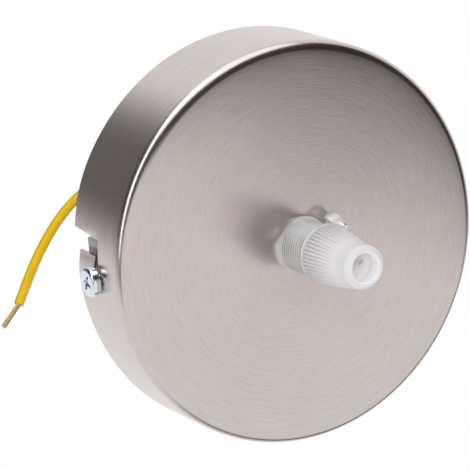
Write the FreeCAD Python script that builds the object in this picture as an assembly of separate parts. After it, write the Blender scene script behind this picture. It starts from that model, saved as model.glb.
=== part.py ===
import FreeCAD, Part
import math
import os

from FreeCAD import Vector

# Electrical ceiling rose: a shallow metal cup that hangs on a steel bracket by two bayonet slots.
# Millimetres. The origin is the centre of the ceiling plane, which the cup's rim and the bracket
# touch. +Z points up to the ceiling, so the closed face of the cup lies below, at -Z.
# The side screws lie on the X axis. The left one, at -X, is the one seen from the front left.

# Cup
cup_diameter = 100.0
cup_height = 25.0
cup_wall = 0.8
cup_edge_radius = 2.0
cord_hole_clearance = 0.2

# Rim drawn in by the side screws, at angles in degrees from the nearer screw.
# Positive angles lead away from the open side of the slot.
dent_depth = 1.7
dent_start_angle = -31.0
dent_full_angle = 7.0
dent_hold_angle = 11.0
dent_end_angle = 73.0
dent_foot_height = 4.0
section_points = 120

# Bayonet slot, one beside each side screw
channel_width = 4.2
entry_gap_at_rim = 6.0
entry_gap_inside = 5.0
lip_end_offset = 5.4
seat_diameter = 5.4
lip_bend = 1.25
lip_root_angle = 5.0
slot_mouth_blend = 3.5

# Bracket folded from one steel strip
strip_width = 17.0
strip_thickness = 1.2
bend_inner_radius = 0.8
ear_inset = 4.0
ear_drop = 15.8
ear_corner_radius = 2.5
neck_width = 9.2
relief_gap = 0.2
cable_hole_diameter = 14.0
ceiling_slot_spacing = 56.0
ceiling_slot_width = 5.0
ceiling_slot_length = 16.0
earth_hole_offset = 13.5

# Side screws, M4 pan head with a cross recess
screw_diameter = 3.94
thread_clearance = 0.06
screw_head_diameter = 7.5
screw_head_height = 2.1
screw_head_round = 1.0
side_screw_length = 8.0
side_screw_depth = 10.5
side_screw_head_inset = 0.2
recess_span = 3.9
recess_width = 0.8
recess_depth = 1.2

# Earth connection under the bracket
earth_screw_length = 2.7
tooth_washer_thickness = 0.5
tooth_washer_diameter = 7.2
tooth_count = 12
tooth_depth = 0.8
terminal_thickness = 0.8
terminal_ring_diameter = 8.2
terminal_neck_width = 3.0
terminal_barrel_diameter = 3.2
terminal_barrel_start = 5.6
terminal_barrel_end = 11.5
terminal_angle = 245.0

# Earth wire: insulation and bare end. The route points are chosen by hand.
wire_diameter = 2.4
conductor_diameter = 1.25
wire_bend_share = 0.45
wire_route = [
    (8.64, -10.42, -2.8),
    (4.9, -17.9, -3.3),
    (-5.6, -24.9, -5.6),
    (-17.7, -28.1, -7.0),
    (-28.5, -27.0, -5.0),
    (-38.0, -22.3, -1.2),
    (-44.8, -18.1, 2.0),
    (-51.3, -13.6, 1.8),
    (-57.6, -7.8, 0.4),
    (-62.4, -2.6, -1.3),
    (-67.0, 3.1, -3.1),
]
conductor_end = (-73.0, 7.3, -5.0)
conductor_start_gap = 0.2

# Cord grip: body
cord_bore_diameter = 6.6
stem_diameter = 9.9
stem_length = 10.2
flange_diameter = 14.4
flange_thickness = 1.3
flange_flats = 12.4
flange_flat_angle = 46.0
collar_diameter = 13.2
collar_length = 12.9
collar_chamfer = 0.5
finger_root_diameter = 10.6
finger_tip_diameter = 8.4
finger_length = 9.1
finger_count = 4
finger_slot_width = 1.0
finger_slot_start = 1.0

# Cord grip: conical cap, with heights below the face of the cup
cap_skirt_height = 12.0
cap_skirt_diameter = 15.0
cap_band_height = 14.5
cap_band_diameter = 14.8
cap_waist_height = 21.0
cap_waist_diameter = 13.0
cap_neck_height = 25.0
cap_neck_diameter = 12.2
cap_brow_height = 28.4
cap_brow_diameter = 11.0
cap_tip_height = 30.0
cap_tip_diameter = 8.0
cap_thread_depth = 3.4
cap_thread_clearance = 0.1
cap_cone_height = 17.5
cap_cone_diameter = 11.2
cap_throat_height = 24.5
cap_throat_diameter = 9.1
cap_mouth_height = 27.0
cap_mouth_diameter = 7.2
rib_count = 46
rib_groove_width = 0.62
rib_groove_depth = 0.38
rib_band = 1.1
rib_end_height = 23.2

# Cord grip: clamp screw, washer and nut
clamp_screw_angle = 335.0
clamp_screw_height = 3.6
clamp_head_seat = 7.5
clamp_head_diameter = 6.6
clamp_head_height = 3.0
clamp_head_chamfer = 0.35
clamp_shank_diameter = 3.9
clamp_shank_clearance = 0.06
clamp_tip_gap = 0.6
clamp_slot_width = 0.8
clamp_slot_depth = 0.8
lock_washer_diameter = 17.0
lock_washer_thickness = 0.8
lock_washer_teeth = 16
lock_washer_tooth_depth = 1.4
nut_across_flats = 14.0
lock_nut_height = 4.0
nut_bore_clearance = 0.05
nut_chamfer = 0.7

# Sizes worked out from the ones above
cup_radius = cup_diameter / 2
ear_reach = cup_radius - ear_inset
side_screw_head_seat = cup_radius - side_screw_head_inset
cord_bore_radius = cord_bore_diameter / 2
stem_radius = stem_diameter / 2
face_z = -cup_height
face_inside_z = face_z + cup_wall
screw_z = -side_screw_depth
channel_top_z = screw_z + channel_width / 2
channel_front_z = screw_z - channel_width / 2
seat_z = channel_top_z - seat_diameter / 2
dent_foot_z = face_z + dent_foot_height
dent_share_at_front = (channel_front_z - dent_foot_z) / -dent_foot_z
dent_share_at_lip = (channel_top_z - dent_foot_z) / -dent_foot_z
ear_half_width = strip_width / 2
strip_under_z = -strip_thickness
bend_outer_radius = bend_inner_radius + strip_thickness
plate_reach = ear_reach - bend_outer_radius
flange_top_z = face_z
flange_under_z = flange_top_z - flange_thickness
collar_end_z = face_z - collar_length
finger_tip_z = collar_end_z - finger_length
terminal_under_z = strip_under_z - terminal_thickness
washer_under_z = terminal_under_z - tooth_washer_thickness
overcut = 1.0


def smooth_step(share):
    """0 below share 0, 1 above share 1, and a smooth rise between them."""
    held = min(max(share, 0.0), 1.0)
    return held * held * (3.0 - 2.0 * held)


def turned(shape, angle):
    """A copy of the shape, turned about the Z axis."""
    copy = shape.copy()
    copy.rotate(Vector(0, 0, 0), Vector(0, 0, 1), angle)
    return copy


def ring(outer_radius, inner_radius, low_z, high_z):
    """A flat ring or tube about the Z axis."""
    tube = Part.makeCylinder(outer_radius, high_z - low_z, Vector(0, 0, low_z))
    bore = Part.makeCylinder(inner_radius, high_z - low_z + 2 * overcut, Vector(0, 0, low_z - overcut))
    return tube.cut(bore)


def revolved(profile):
    """A closed outline of (radius, z) points, turned about the Z axis."""
    points = [Vector(radius, 0, z) for radius, z in profile]
    face = Part.Face(Part.makePolygon(points + points[:1]))
    return face.revolve(Vector(0, 0, 0), Vector(0, 0, 1), 360)


def angle_from_screw(azimuth):
    """The angle from the nearer side screw, positive away from the open side of its slot."""
    return (90.0 - azimuth) % 180.0 - 90.0


def rim_dent(azimuth):
    """How far the side screw draws the rim in at this azimuth."""
    angle = angle_from_screw(azimuth)
    rise = smooth_step((angle - dent_start_angle) / (dent_full_angle - dent_start_angle))
    fall = smooth_step((angle - dent_hold_angle) / (dent_end_angle - dent_hold_angle))
    return dent_depth * rise * (1.0 - fall)


def lip_dent(azimuth):
    """How far the free lip beside the slot is bent in beyond the rim around it."""
    angle = angle_from_screw(azimuth)
    free_angle = -math.degrees(math.asin(lip_end_offset / cup_radius))
    mouth_angle = free_angle - slot_mouth_blend
    if angle < free_angle:
        return lip_bend * smooth_step((angle - mouth_angle + slot_mouth_blend) / slot_mouth_blend)
    along = min(1.0, (angle - free_angle) / (lip_root_angle - free_angle))
    return lip_bend * (1.0 - along) ** 2


def cup_section(z, inward, dent_share, lip_share):
    """A closed smooth line round the cup wall at one height."""
    if dent_share == 0.0 and lip_share == 0.0:
        return Part.Wire(Part.makeCircle(cup_radius - inward, Vector(0, 0, z)))
    points = []
    for step in range(section_points):
        azimuth = 360.0 * step / section_points
        dent = dent_share * rim_dent(azimuth) + lip_share * lip_dent(azimuth)
        radius = cup_radius - inward - dent
        angle = math.radians(azimuth)
        points.append(Vector(radius * math.cos(angle), radius * math.sin(angle), z))
    curve = Part.BSplineCurve()
    curve.interpolate(Points=points, PeriodicFlag=True)
    return Part.Wire(curve.toShape())


def cup_filling(inward, floor_z, top_z, edge_radius):
    """The solid inside a wall surface that lies this far inside the cup's outer one."""
    sections = [
        cup_section(floor_z, inward, 0.0, 0.0),
        cup_section(dent_foot_z, inward, 0.0, 0.0),
        cup_section(channel_front_z, inward, dent_share_at_front, 0.0),
        cup_section(channel_top_z, inward, dent_share_at_lip, 1.0),
        cup_section(0.0, inward, 1.0, 1.0),
    ]
    if top_z > 0.0:
        sections.append(cup_section(top_z, inward, 1.0, 1.0))
    filling = Part.makeLoft(sections, True, True)
    rounded = [edge for edge in filling.Edges if edge.BoundBox.ZMax < floor_z + 0.01]
    return filling.makeFillet(edge_radius, rounded)


def slot_cutter():
    """The punch that opens the left bayonet slot: entry, channel and round seat."""
    lip_end_y = -lip_end_offset
    outline = [
        (lip_end_y - entry_gap_at_rim, overcut),
        (lip_end_y - entry_gap_at_rim, 0.0),
        (lip_end_y - entry_gap_inside, channel_front_z),
        (0.0, channel_front_z),
        (0.0, channel_top_z),
        (lip_end_y, channel_top_z),
        (lip_end_y, overcut),
    ]
    start_x = -cup_radius - overcut
    depth = cup_radius - ear_reach + 2 * overcut
    points = [Vector(start_x, y, z) for y, z in outline]
    face = Part.Face(Part.makePolygon(points + points[:1]))
    seat = Part.makeCylinder(seat_diameter / 2, depth, Vector(start_x, 0, seat_z), Vector(1, 0, 0))
    return face.extrude(Vector(depth, 0, 0)).fuse(seat)


def make_canopy():
    """Drawn metal cup with rounded front edge, cord hole and two bayonet slots."""
    outside = cup_filling(0.0, face_z, 0.0, cup_edge_radius)
    inside = cup_filling(cup_wall, face_inside_z, overcut, cup_edge_radius - cup_wall)
    cup = outside.cut(inside)
    hole_radius = stem_radius + cord_hole_clearance
    hole = Part.makeCylinder(hole_radius, cup_wall + 2 * overcut, Vector(0, 0, face_z - overcut))
    punch = slot_cutter()
    return cup.cut([hole, punch, turned(punch, 180)])


def folded_strip():
    """The strip's side outline with its two bends, extruded over its width."""
    lines = []
    for offset, radius in ((0.0, bend_outer_radius), (strip_thickness, bend_inner_radius)):
        reach = ear_reach - offset
        half = math.sqrt(0.5) * radius
        centre_x = plate_reach
        centre_z = -bend_outer_radius
        left_arc = Part.Arc(
            Vector(-reach, 0, centre_z),
            Vector(-centre_x - half, 0, centre_z + half),
            Vector(-centre_x, 0, -offset),
        )
        right_arc = Part.Arc(
            Vector(centre_x, 0, -offset),
            Vector(centre_x + half, 0, centre_z + half),
            Vector(reach, 0, centre_z),
        )
        lines.append(Part.LineSegment(Vector(-reach, 0, -ear_drop), Vector(-reach, 0, centre_z)))
        lines.append(left_arc)
        lines.append(Part.LineSegment(Vector(-centre_x, 0, -offset), Vector(centre_x, 0, -offset)))
        lines.append(right_arc)
        lines.append(Part.LineSegment(Vector(reach, 0, centre_z), Vector(reach, 0, -ear_drop)))
    inner_reach = ear_reach - strip_thickness
    for side in (-1, 1):
        foot = Vector(side * ear_reach, 0, -ear_drop)
        lines.append(Part.LineSegment(foot, Vector(side * inner_reach, 0, -ear_drop)))
    edges = Part.__sortEdges__([line.toShape() for line in lines])
    face = Part.Face(Part.Wire(edges))
    face.translate(Vector(0, -ear_half_width, 0))
    return face.extrude(Vector(0, strip_width, 0))


def ceiling_slot(centre_x):
    """An oblong hole through the strip, along X."""
    half_width = ceiling_slot_width / 2
    half_straight = ceiling_slot_length / 2 - half_width
    depth = strip_thickness + 2 * overcut
    low_z = strip_under_z - overcut
    corner = Vector(centre_x - half_straight, -half_width, low_z)
    slot = Part.makeBox(2 * half_straight, ceiling_slot_width, depth, corner)
    for end in (-1, 1):
        centre = Vector(centre_x + end * half_straight, 0, low_z)
        slot = slot.fuse(Part.makeCylinder(half_width, depth, centre))
    return slot.removeSplitter()


def make_mounting_bracket():
    """Folded strip with necked bends, rounded ears, tapped holes and ceiling slots."""
    bracket = folded_strip()
    outer_corners = [
        edge
        for edge in bracket.Edges
        if edge.BoundBox.ZMax < -ear_drop + 0.01 and edge.BoundBox.XLength > strip_thickness / 2
    ]
    bracket = bracket.makeFillet(ear_corner_radius, outer_corners)
    cutters = []
    relief_width = (strip_width - neck_width) / 2
    for side in (-1, 1):
        for flank in (-1, 1):
            low_x = min(side * plate_reach, side * (ear_reach + overcut))
            low_y = flank * neck_width / 2 + min(0.0, flank * relief_width) + min(0, flank) * overcut
            corner = Vector(low_x, low_y, -bend_outer_radius - relief_gap)
            span_x = ear_reach + overcut - plate_reach
            span_z = bend_outer_radius + relief_gap + overcut
            cutters.append(Part.makeBox(span_x, relief_width + overcut, span_z, corner))
        cutters.append(ceiling_slot(side * ceiling_slot_spacing / 2))
    tapped_radius = screw_diameter / 2 + thread_clearance
    across = 2 * (ear_reach + overcut)
    start = Vector(-ear_reach - overcut, 0, screw_z)
    cutters.append(Part.makeCylinder(tapped_radius, across, start, Vector(1, 0, 0)))
    plate_depth = strip_thickness + 2 * overcut
    low_z = strip_under_z - overcut
    cutters.append(Part.makeCylinder(cable_hole_diameter / 2, plate_depth, Vector(0, 0, low_z)))
    earth_start = Vector(earth_hole_offset, 0, low_z)
    cutters.append(Part.makeCylinder(tapped_radius, plate_depth, earth_start))
    return bracket.cut(cutters)


def pan_screw(length):
    """Pan-head screw with a cross recess. Its head seat is at z 0 and its shank points to -Z."""
    shank_radius = screw_diameter / 2
    tip = 0.4
    shank = revolved(
        [
            (0, 0),
            (shank_radius, 0),
            (shank_radius, -length + tip),
            (shank_radius - tip, -length),
            (0, -length),
        ]
    )
    head = Part.makeCylinder(screw_head_diameter / 2, screw_head_height)
    crown = [edge for edge in head.Edges if edge.BoundBox.ZMin > screw_head_height - 0.01]
    head = head.makeFillet(screw_head_round, crown)
    recess = cross_recess()
    recess.translate(Vector(0, 0, screw_head_height))
    return head.cut(recess).fuse(shank).removeSplitter()


def cross_recess():
    """Two crossed tapering slots, open at z 0 and narrower below."""
    arms = []
    for angle in (0, 90):
        top = rectangle_wire(recess_span, recess_width, overcut / 2)
        bottom = rectangle_wire(recess_span / 2, recess_width * 0.7, -recess_depth)
        arms.append(turned(Part.makeLoft([bottom, top], True, True), angle))
    return arms[0].fuse(arms[1])


def rectangle_wire(span_x, span_y, z):
    """A centred rectangle at one height."""
    half_x = span_x / 2
    half_y = span_y / 2
    corners = [(-half_x, -half_y), (half_x, -half_y), (half_x, half_y), (-half_x, half_y)]
    points = [Vector(x, y, z) for x, y in corners]
    return Part.makePolygon(points + points[:1])


def make_side_screw(side):
    """A side screw with its head outside the cup wall and its shank in the bracket's ear."""
    screw = pan_screw(side_screw_length)
    screw.rotate(Vector(0, 0, 0), Vector(0, 1, 0), 90 * side)
    screw.translate(Vector(side * side_screw_head_seat, 0, screw_z))
    return screw


def make_earth_screw():
    """The earth screw, driven up into the bracket from below."""
    screw = pan_screw(earth_screw_length)
    screw.rotate(Vector(0, 0, 0), Vector(1, 0, 0), 180)
    screw.translate(Vector(earth_hole_offset, 0, washer_under_z))
    return screw


def toothed_washer(outer_radius, bore_radius, thickness, teeth, tooth_size):
    """A flat lock washer with notches round its edge. Its underside is at z 0."""
    washer = ring(outer_radius, bore_radius, 0, thickness)
    notch_width = math.pi * outer_radius / teeth * 0.8
    notch = Part.makeBox(tooth_size + overcut, notch_width, thickness + 2 * overcut)
    notch.translate(Vector(outer_radius - tooth_size, -notch_width / 2, -overcut))
    notches = [turned(notch, 360.0 * number / teeth) for number in range(teeth)]
    return washer.cut(notches)


def make_earth_washer():
    """The toothed washer between the earth screw's head and the ring terminal."""
    bore_radius = screw_diameter / 2 + thread_clearance
    washer = toothed_washer(
        tooth_washer_diameter / 2,
        bore_radius,
        tooth_washer_thickness,
        tooth_count,
        tooth_depth,
    )
    washer.translate(Vector(earth_hole_offset, 0, washer_under_z))
    return washer


def make_ring_terminal():
    """Ring terminal: eye, neck and crimped barrel in one piece."""
    barrel_radius = terminal_barrel_diameter / 2
    eye = Part.makeCylinder(terminal_ring_diameter / 2, terminal_thickness)
    neck_start = Vector(0, -terminal_neck_width / 2, 0)
    neck_length = (terminal_barrel_start + terminal_barrel_end) / 2
    neck = Part.makeBox(neck_length, terminal_neck_width, terminal_thickness, neck_start)
    barrel_z = terminal_thickness - barrel_radius
    barrel_length = terminal_barrel_end - terminal_barrel_start
    start = Vector(terminal_barrel_start, 0, barrel_z)
    barrel = Part.makeCylinder(barrel_radius, barrel_length, start, Vector(1, 0, 0))
    crimp_radius = barrel_radius * 0.9
    crimp_x = (terminal_barrel_start + terminal_barrel_end) / 2
    crimp_centre = Vector(crimp_x, -barrel_radius - overcut, barrel_z - 2 * barrel_radius)
    crimp_length = 2 * (barrel_radius + overcut)
    crimp = Part.makeCylinder(crimp_radius, crimp_length, crimp_centre, Vector(0, 1, 0))
    hole_radius = screw_diameter / 2 + thread_clearance
    hole = Part.makeCylinder(hole_radius, 3 * terminal_thickness, Vector(0, 0, -terminal_thickness))
    terminal = eye.fuse([neck, barrel]).removeSplitter().cut([crimp, hole])
    terminal = turned(terminal, terminal_angle)
    terminal.translate(Vector(earth_hole_offset, 0, terminal_under_z))
    return terminal


def make_earth_wire():
    """The insulated wire: straight runs joined by tangent arcs along its route."""
    points = [Vector(*point) for point in wire_route]
    edges = []
    run_start = points[0]
    centreline = 0.0
    for before, corner, after in zip(points, points[1:], points[2:]):
        to_before = (before - corner).normalize()
        to_after = (after - corner).normalize()
        half_turn = (math.pi - to_before.getAngle(to_after)) / 2
        trim = wire_bend_share * min((before - corner).Length, (after - corner).Length)
        radius = trim / math.tan(half_turn)
        print("wire bend radius", round(radius, 1))
        arc_start = corner + to_before * trim
        arc_end = corner + to_after * trim
        middle = (to_before + to_after).normalize()
        to_centre = radius / math.cos(half_turn)
        arc_middle = corner + middle * (to_centre - radius)
        edges.append(Part.LineSegment(run_start, arc_start).toShape())
        edges.append(Part.Arc(arc_start, arc_middle, arc_end).toShape())
        centreline += (arc_start - run_start).Length + 2 * half_turn * radius
        run_start = arc_end
    edges.append(Part.LineSegment(run_start, points[-1]).toShape())
    centreline += (points[-1] - run_start).Length
    path = Part.Wire(edges)
    direction = points[1] - points[0]
    section = Part.Wire(Part.makeCircle(wire_diameter / 2, points[0], direction))
    wire = path.makePipeShell([section], True, False)
    expected = math.pi * wire_diameter**2 / 4 * centreline
    print("wire length", round(centreline, 2), "volume share", round(wire.Volume / expected, 5))
    return wire


def make_earth_conductor():
    """The stripped end of the wire."""
    wire_end = Vector(*wire_route[-1])
    along = Vector(*conductor_end) - wire_end
    start = wire_end + along * (conductor_start_gap / along.Length)
    along = Vector(*conductor_end) - start
    return Part.makeCylinder(conductor_diameter / 2, along.Length, start, along)


def make_grip_body():
    """Clear cord grip body: stem, flange with flats, threaded collar and clamping fingers."""
    collar_radius = collar_diameter / 2
    body = revolved(
        [
            (cord_bore_radius, face_z + stem_length),
            (stem_radius - collar_chamfer, face_z + stem_length),
            (stem_radius, face_z + stem_length - collar_chamfer),
            (stem_radius, flange_top_z),
            (flange_diameter / 2, flange_top_z),
            (flange_diameter / 2, flange_under_z),
            (collar_radius, flange_under_z),
            (collar_radius, collar_end_z + collar_chamfer),
            (collar_radius - collar_chamfer, collar_end_z),
            (finger_root_diameter / 2, collar_end_z),
            (finger_tip_diameter / 2, finger_tip_z),
            (cord_bore_radius, finger_tip_z),
        ]
    )
    cutters = []
    for side in (0, 180):
        corner = Vector(flange_flats / 2, -flange_diameter, flange_under_z)
        flat = Part.makeBox(flange_diameter, 2 * flange_diameter, flange_thickness, corner)
        cutters.append(turned(flat, flange_flat_angle + side))
    slot_top_z = collar_end_z - finger_slot_start
    slot_depth = slot_top_z - finger_tip_z + overcut
    for number in range(finger_count // 2):
        corner = Vector(-collar_radius, -finger_slot_width / 2, finger_tip_z - overcut)
        slot = Part.makeBox(2 * collar_radius, finger_slot_width, slot_depth, corner)
        cutters.append(turned(slot, 360.0 * number / finger_count))
    hole_radius = clamp_shank_diameter / 2 + clamp_shank_clearance
    start = Vector(0, 0, face_z - clamp_screw_height)
    hole = Part.makeCylinder(hole_radius, flange_diameter, start, Vector(1, 0, 0))
    cutters.append(turned(hole, clamp_screw_angle))
    return body.cut(cutters)


def rib_groove():
    """One V groove of the cap: a tapered wedge along the cone, run out at its narrow end."""
    start_height = cap_skirt_height + rib_band
    sections = []
    for height, depth in ((start_height, rib_groove_depth), (rib_end_height, 0.0)):
        radius = cap_outer_radius(height)
        width = rib_groove_width * radius / cap_outer_radius(start_height)
        outer = radius + rib_groove_depth
        half_width = width / 2 * (outer - radius + depth + 0.05) / (rib_groove_depth + 0.05)
        z = face_z - height
        points = [
            Vector(radius - depth - 0.05, 0, z),
            Vector(outer, half_width, z),
            Vector(outer, -half_width, z),
        ]
        sections.append(Part.makePolygon(points + points[:1]))
    return Part.makeLoft(sections, True, True)


def cap_outer_radius(height):
    """The cap's outer radius at a height below the face, between its listed sections."""
    sections = [
        (cap_skirt_height, cap_skirt_diameter / 2),
        (cap_band_height, cap_band_diameter / 2),
        (cap_waist_height, cap_waist_diameter / 2),
        (cap_neck_height, cap_neck_diameter / 2),
        (cap_brow_height, cap_brow_diameter / 2),
    ]
    for (low, low_radius), (high, high_radius) in zip(sections, sections[1:]):
        if height <= high:
            return low_radius + (high_radius - low_radius) * (height - low) / (high - low)
    return cap_brow_diameter / 2


def make_grip_cap():
    """Clear conical cap: curved cone with ribs, threaded mouth and inner cone for the fingers."""
    outside = [
        Vector(cap_skirt_diameter / 2, 0, face_z - cap_skirt_height),
        Vector(cap_band_diameter / 2, 0, face_z - cap_band_height),
        Vector(cap_waist_diameter / 2, 0, face_z - cap_waist_height),
        Vector(cap_neck_diameter / 2, 0, face_z - cap_neck_height),
        Vector(cap_brow_diameter / 2, 0, face_z - cap_brow_height),
    ]
    tip = Vector(cap_tip_diameter / 2, 0, face_z - cap_tip_height)
    thread_radius = collar_diameter / 2 + cap_thread_clearance
    inside = [
        (thread_radius, cap_skirt_height),
        (thread_radius, cap_skirt_height + cap_thread_depth),
        (cap_cone_diameter / 2, cap_cone_height),
        (cap_throat_diameter / 2, cap_throat_height),
        (cap_mouth_diameter / 2, cap_mouth_height),
        (cap_mouth_diameter / 2, cap_tip_height),
    ]
    inner = [Vector(radius, 0, face_z - height) for radius, height in inside]
    chain = outside[1:]
    side_curve = Part.BSplineCurve()
    side_curve.interpolate(chain)
    bulge = (cap_brow_diameter - cap_tip_diameter) / 2
    brow_middle = Vector(
        cap_tip_diameter / 2 + bulge * math.sqrt(0.5),
        0,
        face_z - cap_brow_height - (cap_tip_height - cap_brow_height) * math.sqrt(0.5),
    )
    edges = [
        Part.LineSegment(outside[0], outside[1]).toShape(),
        side_curve.toShape(),
        Part.Arc(chain[-1], brow_middle, tip).toShape(),
        Part.LineSegment(tip, inner[-1]).toShape(),
    ]
    for low, high in zip(inner, inner[1:]):
        edges.append(Part.LineSegment(low, high).toShape())
    edges.append(Part.LineSegment(inner[0], outside[0]).toShape())
    face = Part.Face(Part.Wire(Part.__sortEdges__(edges)))
    cap = face.revolve(Vector(0, 0, 0), Vector(0, 0, 1), 360)
    groove = rib_groove()
    grooves = [turned(groove, 360.0 * number / rib_count) for number in range(rib_count)]
    return cap.cut(grooves)


def make_clamp_screw():
    """Clear slotted screw that enters the collar from the side and bears on the cord."""
    head_radius = clamp_head_diameter / 2
    shank_radius = clamp_shank_diameter / 2
    tip_radius = cord_bore_radius + clamp_tip_gap
    screw = revolved(
        [
            (0, tip_radius),
            (shank_radius, tip_radius),
            (shank_radius, clamp_head_seat),
            (head_radius, clamp_head_seat),
            (head_radius, clamp_head_seat + clamp_head_height - clamp_head_chamfer),
            (head_radius - clamp_head_chamfer, clamp_head_seat + clamp_head_height),
            (0, clamp_head_seat + clamp_head_height),
        ]
    )
    corner = Vector(-head_radius - overcut, -clamp_slot_width / 2, 0)
    slot = Part.makeBox(2 * (head_radius + overcut), clamp_slot_width, clamp_slot_depth + overcut, corner)
    slot.translate(Vector(0, 0, clamp_head_seat + clamp_head_height - clamp_slot_depth))
    screw = screw.cut(slot)
    screw.rotate(Vector(0, 0, 0), Vector(0, 1, 0), 90)
    screw.translate(Vector(0, 0, face_z - clamp_screw_height))
    return turned(screw, clamp_screw_angle)


def make_lock_washer():
    """Toothed washer inside the cup, under the nut."""
    washer = toothed_washer(
        lock_washer_diameter / 2,
        stem_radius + cord_hole_clearance,
        lock_washer_thickness,
        lock_washer_teeth,
        lock_washer_tooth_depth,
    )
    washer.translate(Vector(0, 0, face_inside_z))
    return washer


def make_lock_nut():
    """Hexagon nut on the stem, chamfered on both sides."""
    corner_radius = nut_across_flats / math.sqrt(3)
    points = []
    for number in range(6):
        angle = math.radians(60 * number)
        points.append(Vector(corner_radius * math.cos(angle), corner_radius * math.sin(angle), 0))
    hexagon = Part.Face(Part.makePolygon(points + points[:1]))
    blank = hexagon.extrude(Vector(0, 0, lock_nut_height))
    rounding = revolved(
        [
            (0, 0),
            (corner_radius - nut_chamfer, 0),
            (corner_radius, nut_chamfer / 2),
            (corner_radius, lock_nut_height - nut_chamfer / 2),
            (corner_radius - nut_chamfer, lock_nut_height),
            (0, lock_nut_height),
        ]
    )
    bore_radius = stem_radius + nut_bore_clearance
    bore = Part.makeCylinder(bore_radius, lock_nut_height + 2 * overcut, Vector(0, 0, -overcut))
    nut = blank.common(rounding).cut(bore)
    nut.translate(Vector(0, 0, face_inside_z + lock_washer_thickness))
    return nut


def main():
    os.makedirs("parts", exist_ok=True)
    pieces = {
        "canopy": make_canopy(),
        "mounting_bracket": make_mounting_bracket(),
        "side_screw_left": make_side_screw(-1),
        "side_screw_right": make_side_screw(1),
        "earth_screw": make_earth_screw(),
        "earth_washer": make_earth_washer(),
        "ring_terminal": make_ring_terminal(),
        "earth_wire": make_earth_wire(),
        "earth_conductor": make_earth_conductor(),
        "grip_body": make_grip_body(),
        "grip_cap": make_grip_cap(),
        "clamp_screw": make_clamp_screw(),
        "lock_washer": make_lock_washer(),
        "lock_nut": make_lock_nut(),
    }
    for name, shape in pieces.items():
        print(name, "valid", shape.isValid(), "solids", len(shape.Solids), "volume", round(shape.Volume, 2))
        shape.exportStep("parts/" + name + ".step")


main()
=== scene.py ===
import math

import bmesh
import bpy
import numpy as np
from mathutils import Matrix, Vector


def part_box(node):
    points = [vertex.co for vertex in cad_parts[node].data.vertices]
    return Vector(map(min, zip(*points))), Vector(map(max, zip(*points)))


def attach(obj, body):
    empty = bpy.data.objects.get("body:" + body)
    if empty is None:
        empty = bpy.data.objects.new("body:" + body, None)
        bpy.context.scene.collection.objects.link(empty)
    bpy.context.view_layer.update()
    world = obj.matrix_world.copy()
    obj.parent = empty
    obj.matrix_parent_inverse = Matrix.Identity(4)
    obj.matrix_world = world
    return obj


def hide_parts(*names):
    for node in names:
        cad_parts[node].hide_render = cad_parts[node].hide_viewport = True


# Electrical ceiling rose in satin nickel, with its clear cord grip and earth wire.
# Shapes are worked out in millimetres in the part's own frame and put into meshes in metres.
# The origin is the centre of the ceiling plane. The face of the cup lies below, at -Z.
# Angles round the Z axis are azimuths in degrees. The left side screw is at azimuth 180.

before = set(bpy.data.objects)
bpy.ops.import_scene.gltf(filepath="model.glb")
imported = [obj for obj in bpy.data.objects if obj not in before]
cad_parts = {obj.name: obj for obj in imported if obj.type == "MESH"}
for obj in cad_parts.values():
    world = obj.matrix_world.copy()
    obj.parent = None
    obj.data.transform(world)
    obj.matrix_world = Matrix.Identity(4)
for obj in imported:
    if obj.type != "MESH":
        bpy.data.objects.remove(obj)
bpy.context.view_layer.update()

METRES = 0.001
TURN = 2 * math.pi
# In metres: points nearer than the first are merged, and edges shorter than the second dissolved
MERGE_DISTANCE = 1e-6
SLIVER_LENGTH = 1e-7


def node_box_mm(node):
    """Lowest and highest corner of a CAD node, in millimetres."""
    low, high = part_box(node)
    return np.array(low) / METRES, np.array(high) / METRES


canopy_low = node_box_mm("canopy")[0]
body_low, body_high = node_box_mm("grip_body")
cap_low, cap_high = node_box_mm("grip_cap")
side_screw_low = node_box_mm("side_screw_left")[0]
earth_screw_low = node_box_mm("earth_screw")[0]

FACE_Z = canopy_low[2]
CUP_RADIUS = -canopy_low[1]


# Curves and vectors


def smooth_step(share):
    """3 s^2 - 2 s^3 on shares held to 0..1."""
    held = np.clip(share, 0.0, 1.0)
    return held * held * (3.0 - 2.0 * held)


def spaced(*runs):
    """Joined even runs, each given as (start, end, steps)."""
    values = [np.linspace(start, end, steps, endpoint=False) for start, end, steps in runs]
    return np.concatenate(values + [[runs[-1][1]]])


def through(knots, x):
    """A smooth curve through knots: cubic pieces whose slopes follow the neighbouring knots."""
    places, values = np.array(knots[0]), np.array(knots[1])
    slopes = np.gradient(values, places)
    part = np.clip(np.searchsorted(places, x, side="right") - 1, 0, len(places) - 2)
    run = places[part + 1] - places[part]
    s = (x - places[part]) / run
    begin = (1 + 2 * s) * (1 - s) ** 2 * values[part] + s * (1 - s) ** 2 * run * slopes[part]
    end = s * s * (3 - 2 * s) * values[part + 1] + s * s * (s - 1) * run * slopes[part + 1]
    return begin + end


def thread_wave(turns):
    """A rounded V thread: 0 on the crest and 1 in the root, once each turn."""
    return 0.5 - 0.5 * np.cos(TURN * turns)


def unit(vectors):
    """Vectors of length one along the given ones."""
    return vectors / np.linalg.norm(vectors, axis=-1, keepdims=True)


def side_frames(tangent):
    """Two unit normals of unit tangents, the first kept level with the Z axis."""
    level = unit(np.cross(tangent, [0.0, 0.0, 1.0]))
    return level, np.cross(level, tangent)


# Meshes


def grid_faces(rows, columns, closed):
    """Quads of a rows x columns grid of vertices, whose columns may run round."""
    row = np.arange(rows - 1)[:, None]
    column = np.arange(columns if closed else columns - 1)[None, :]
    following = (column + 1) % columns
    corner = row * columns + column
    beside = row * columns + following
    quads = np.stack([corner, beside, beside + columns, corner + columns], axis=-1)
    return quads.reshape(-1, 4)


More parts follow.
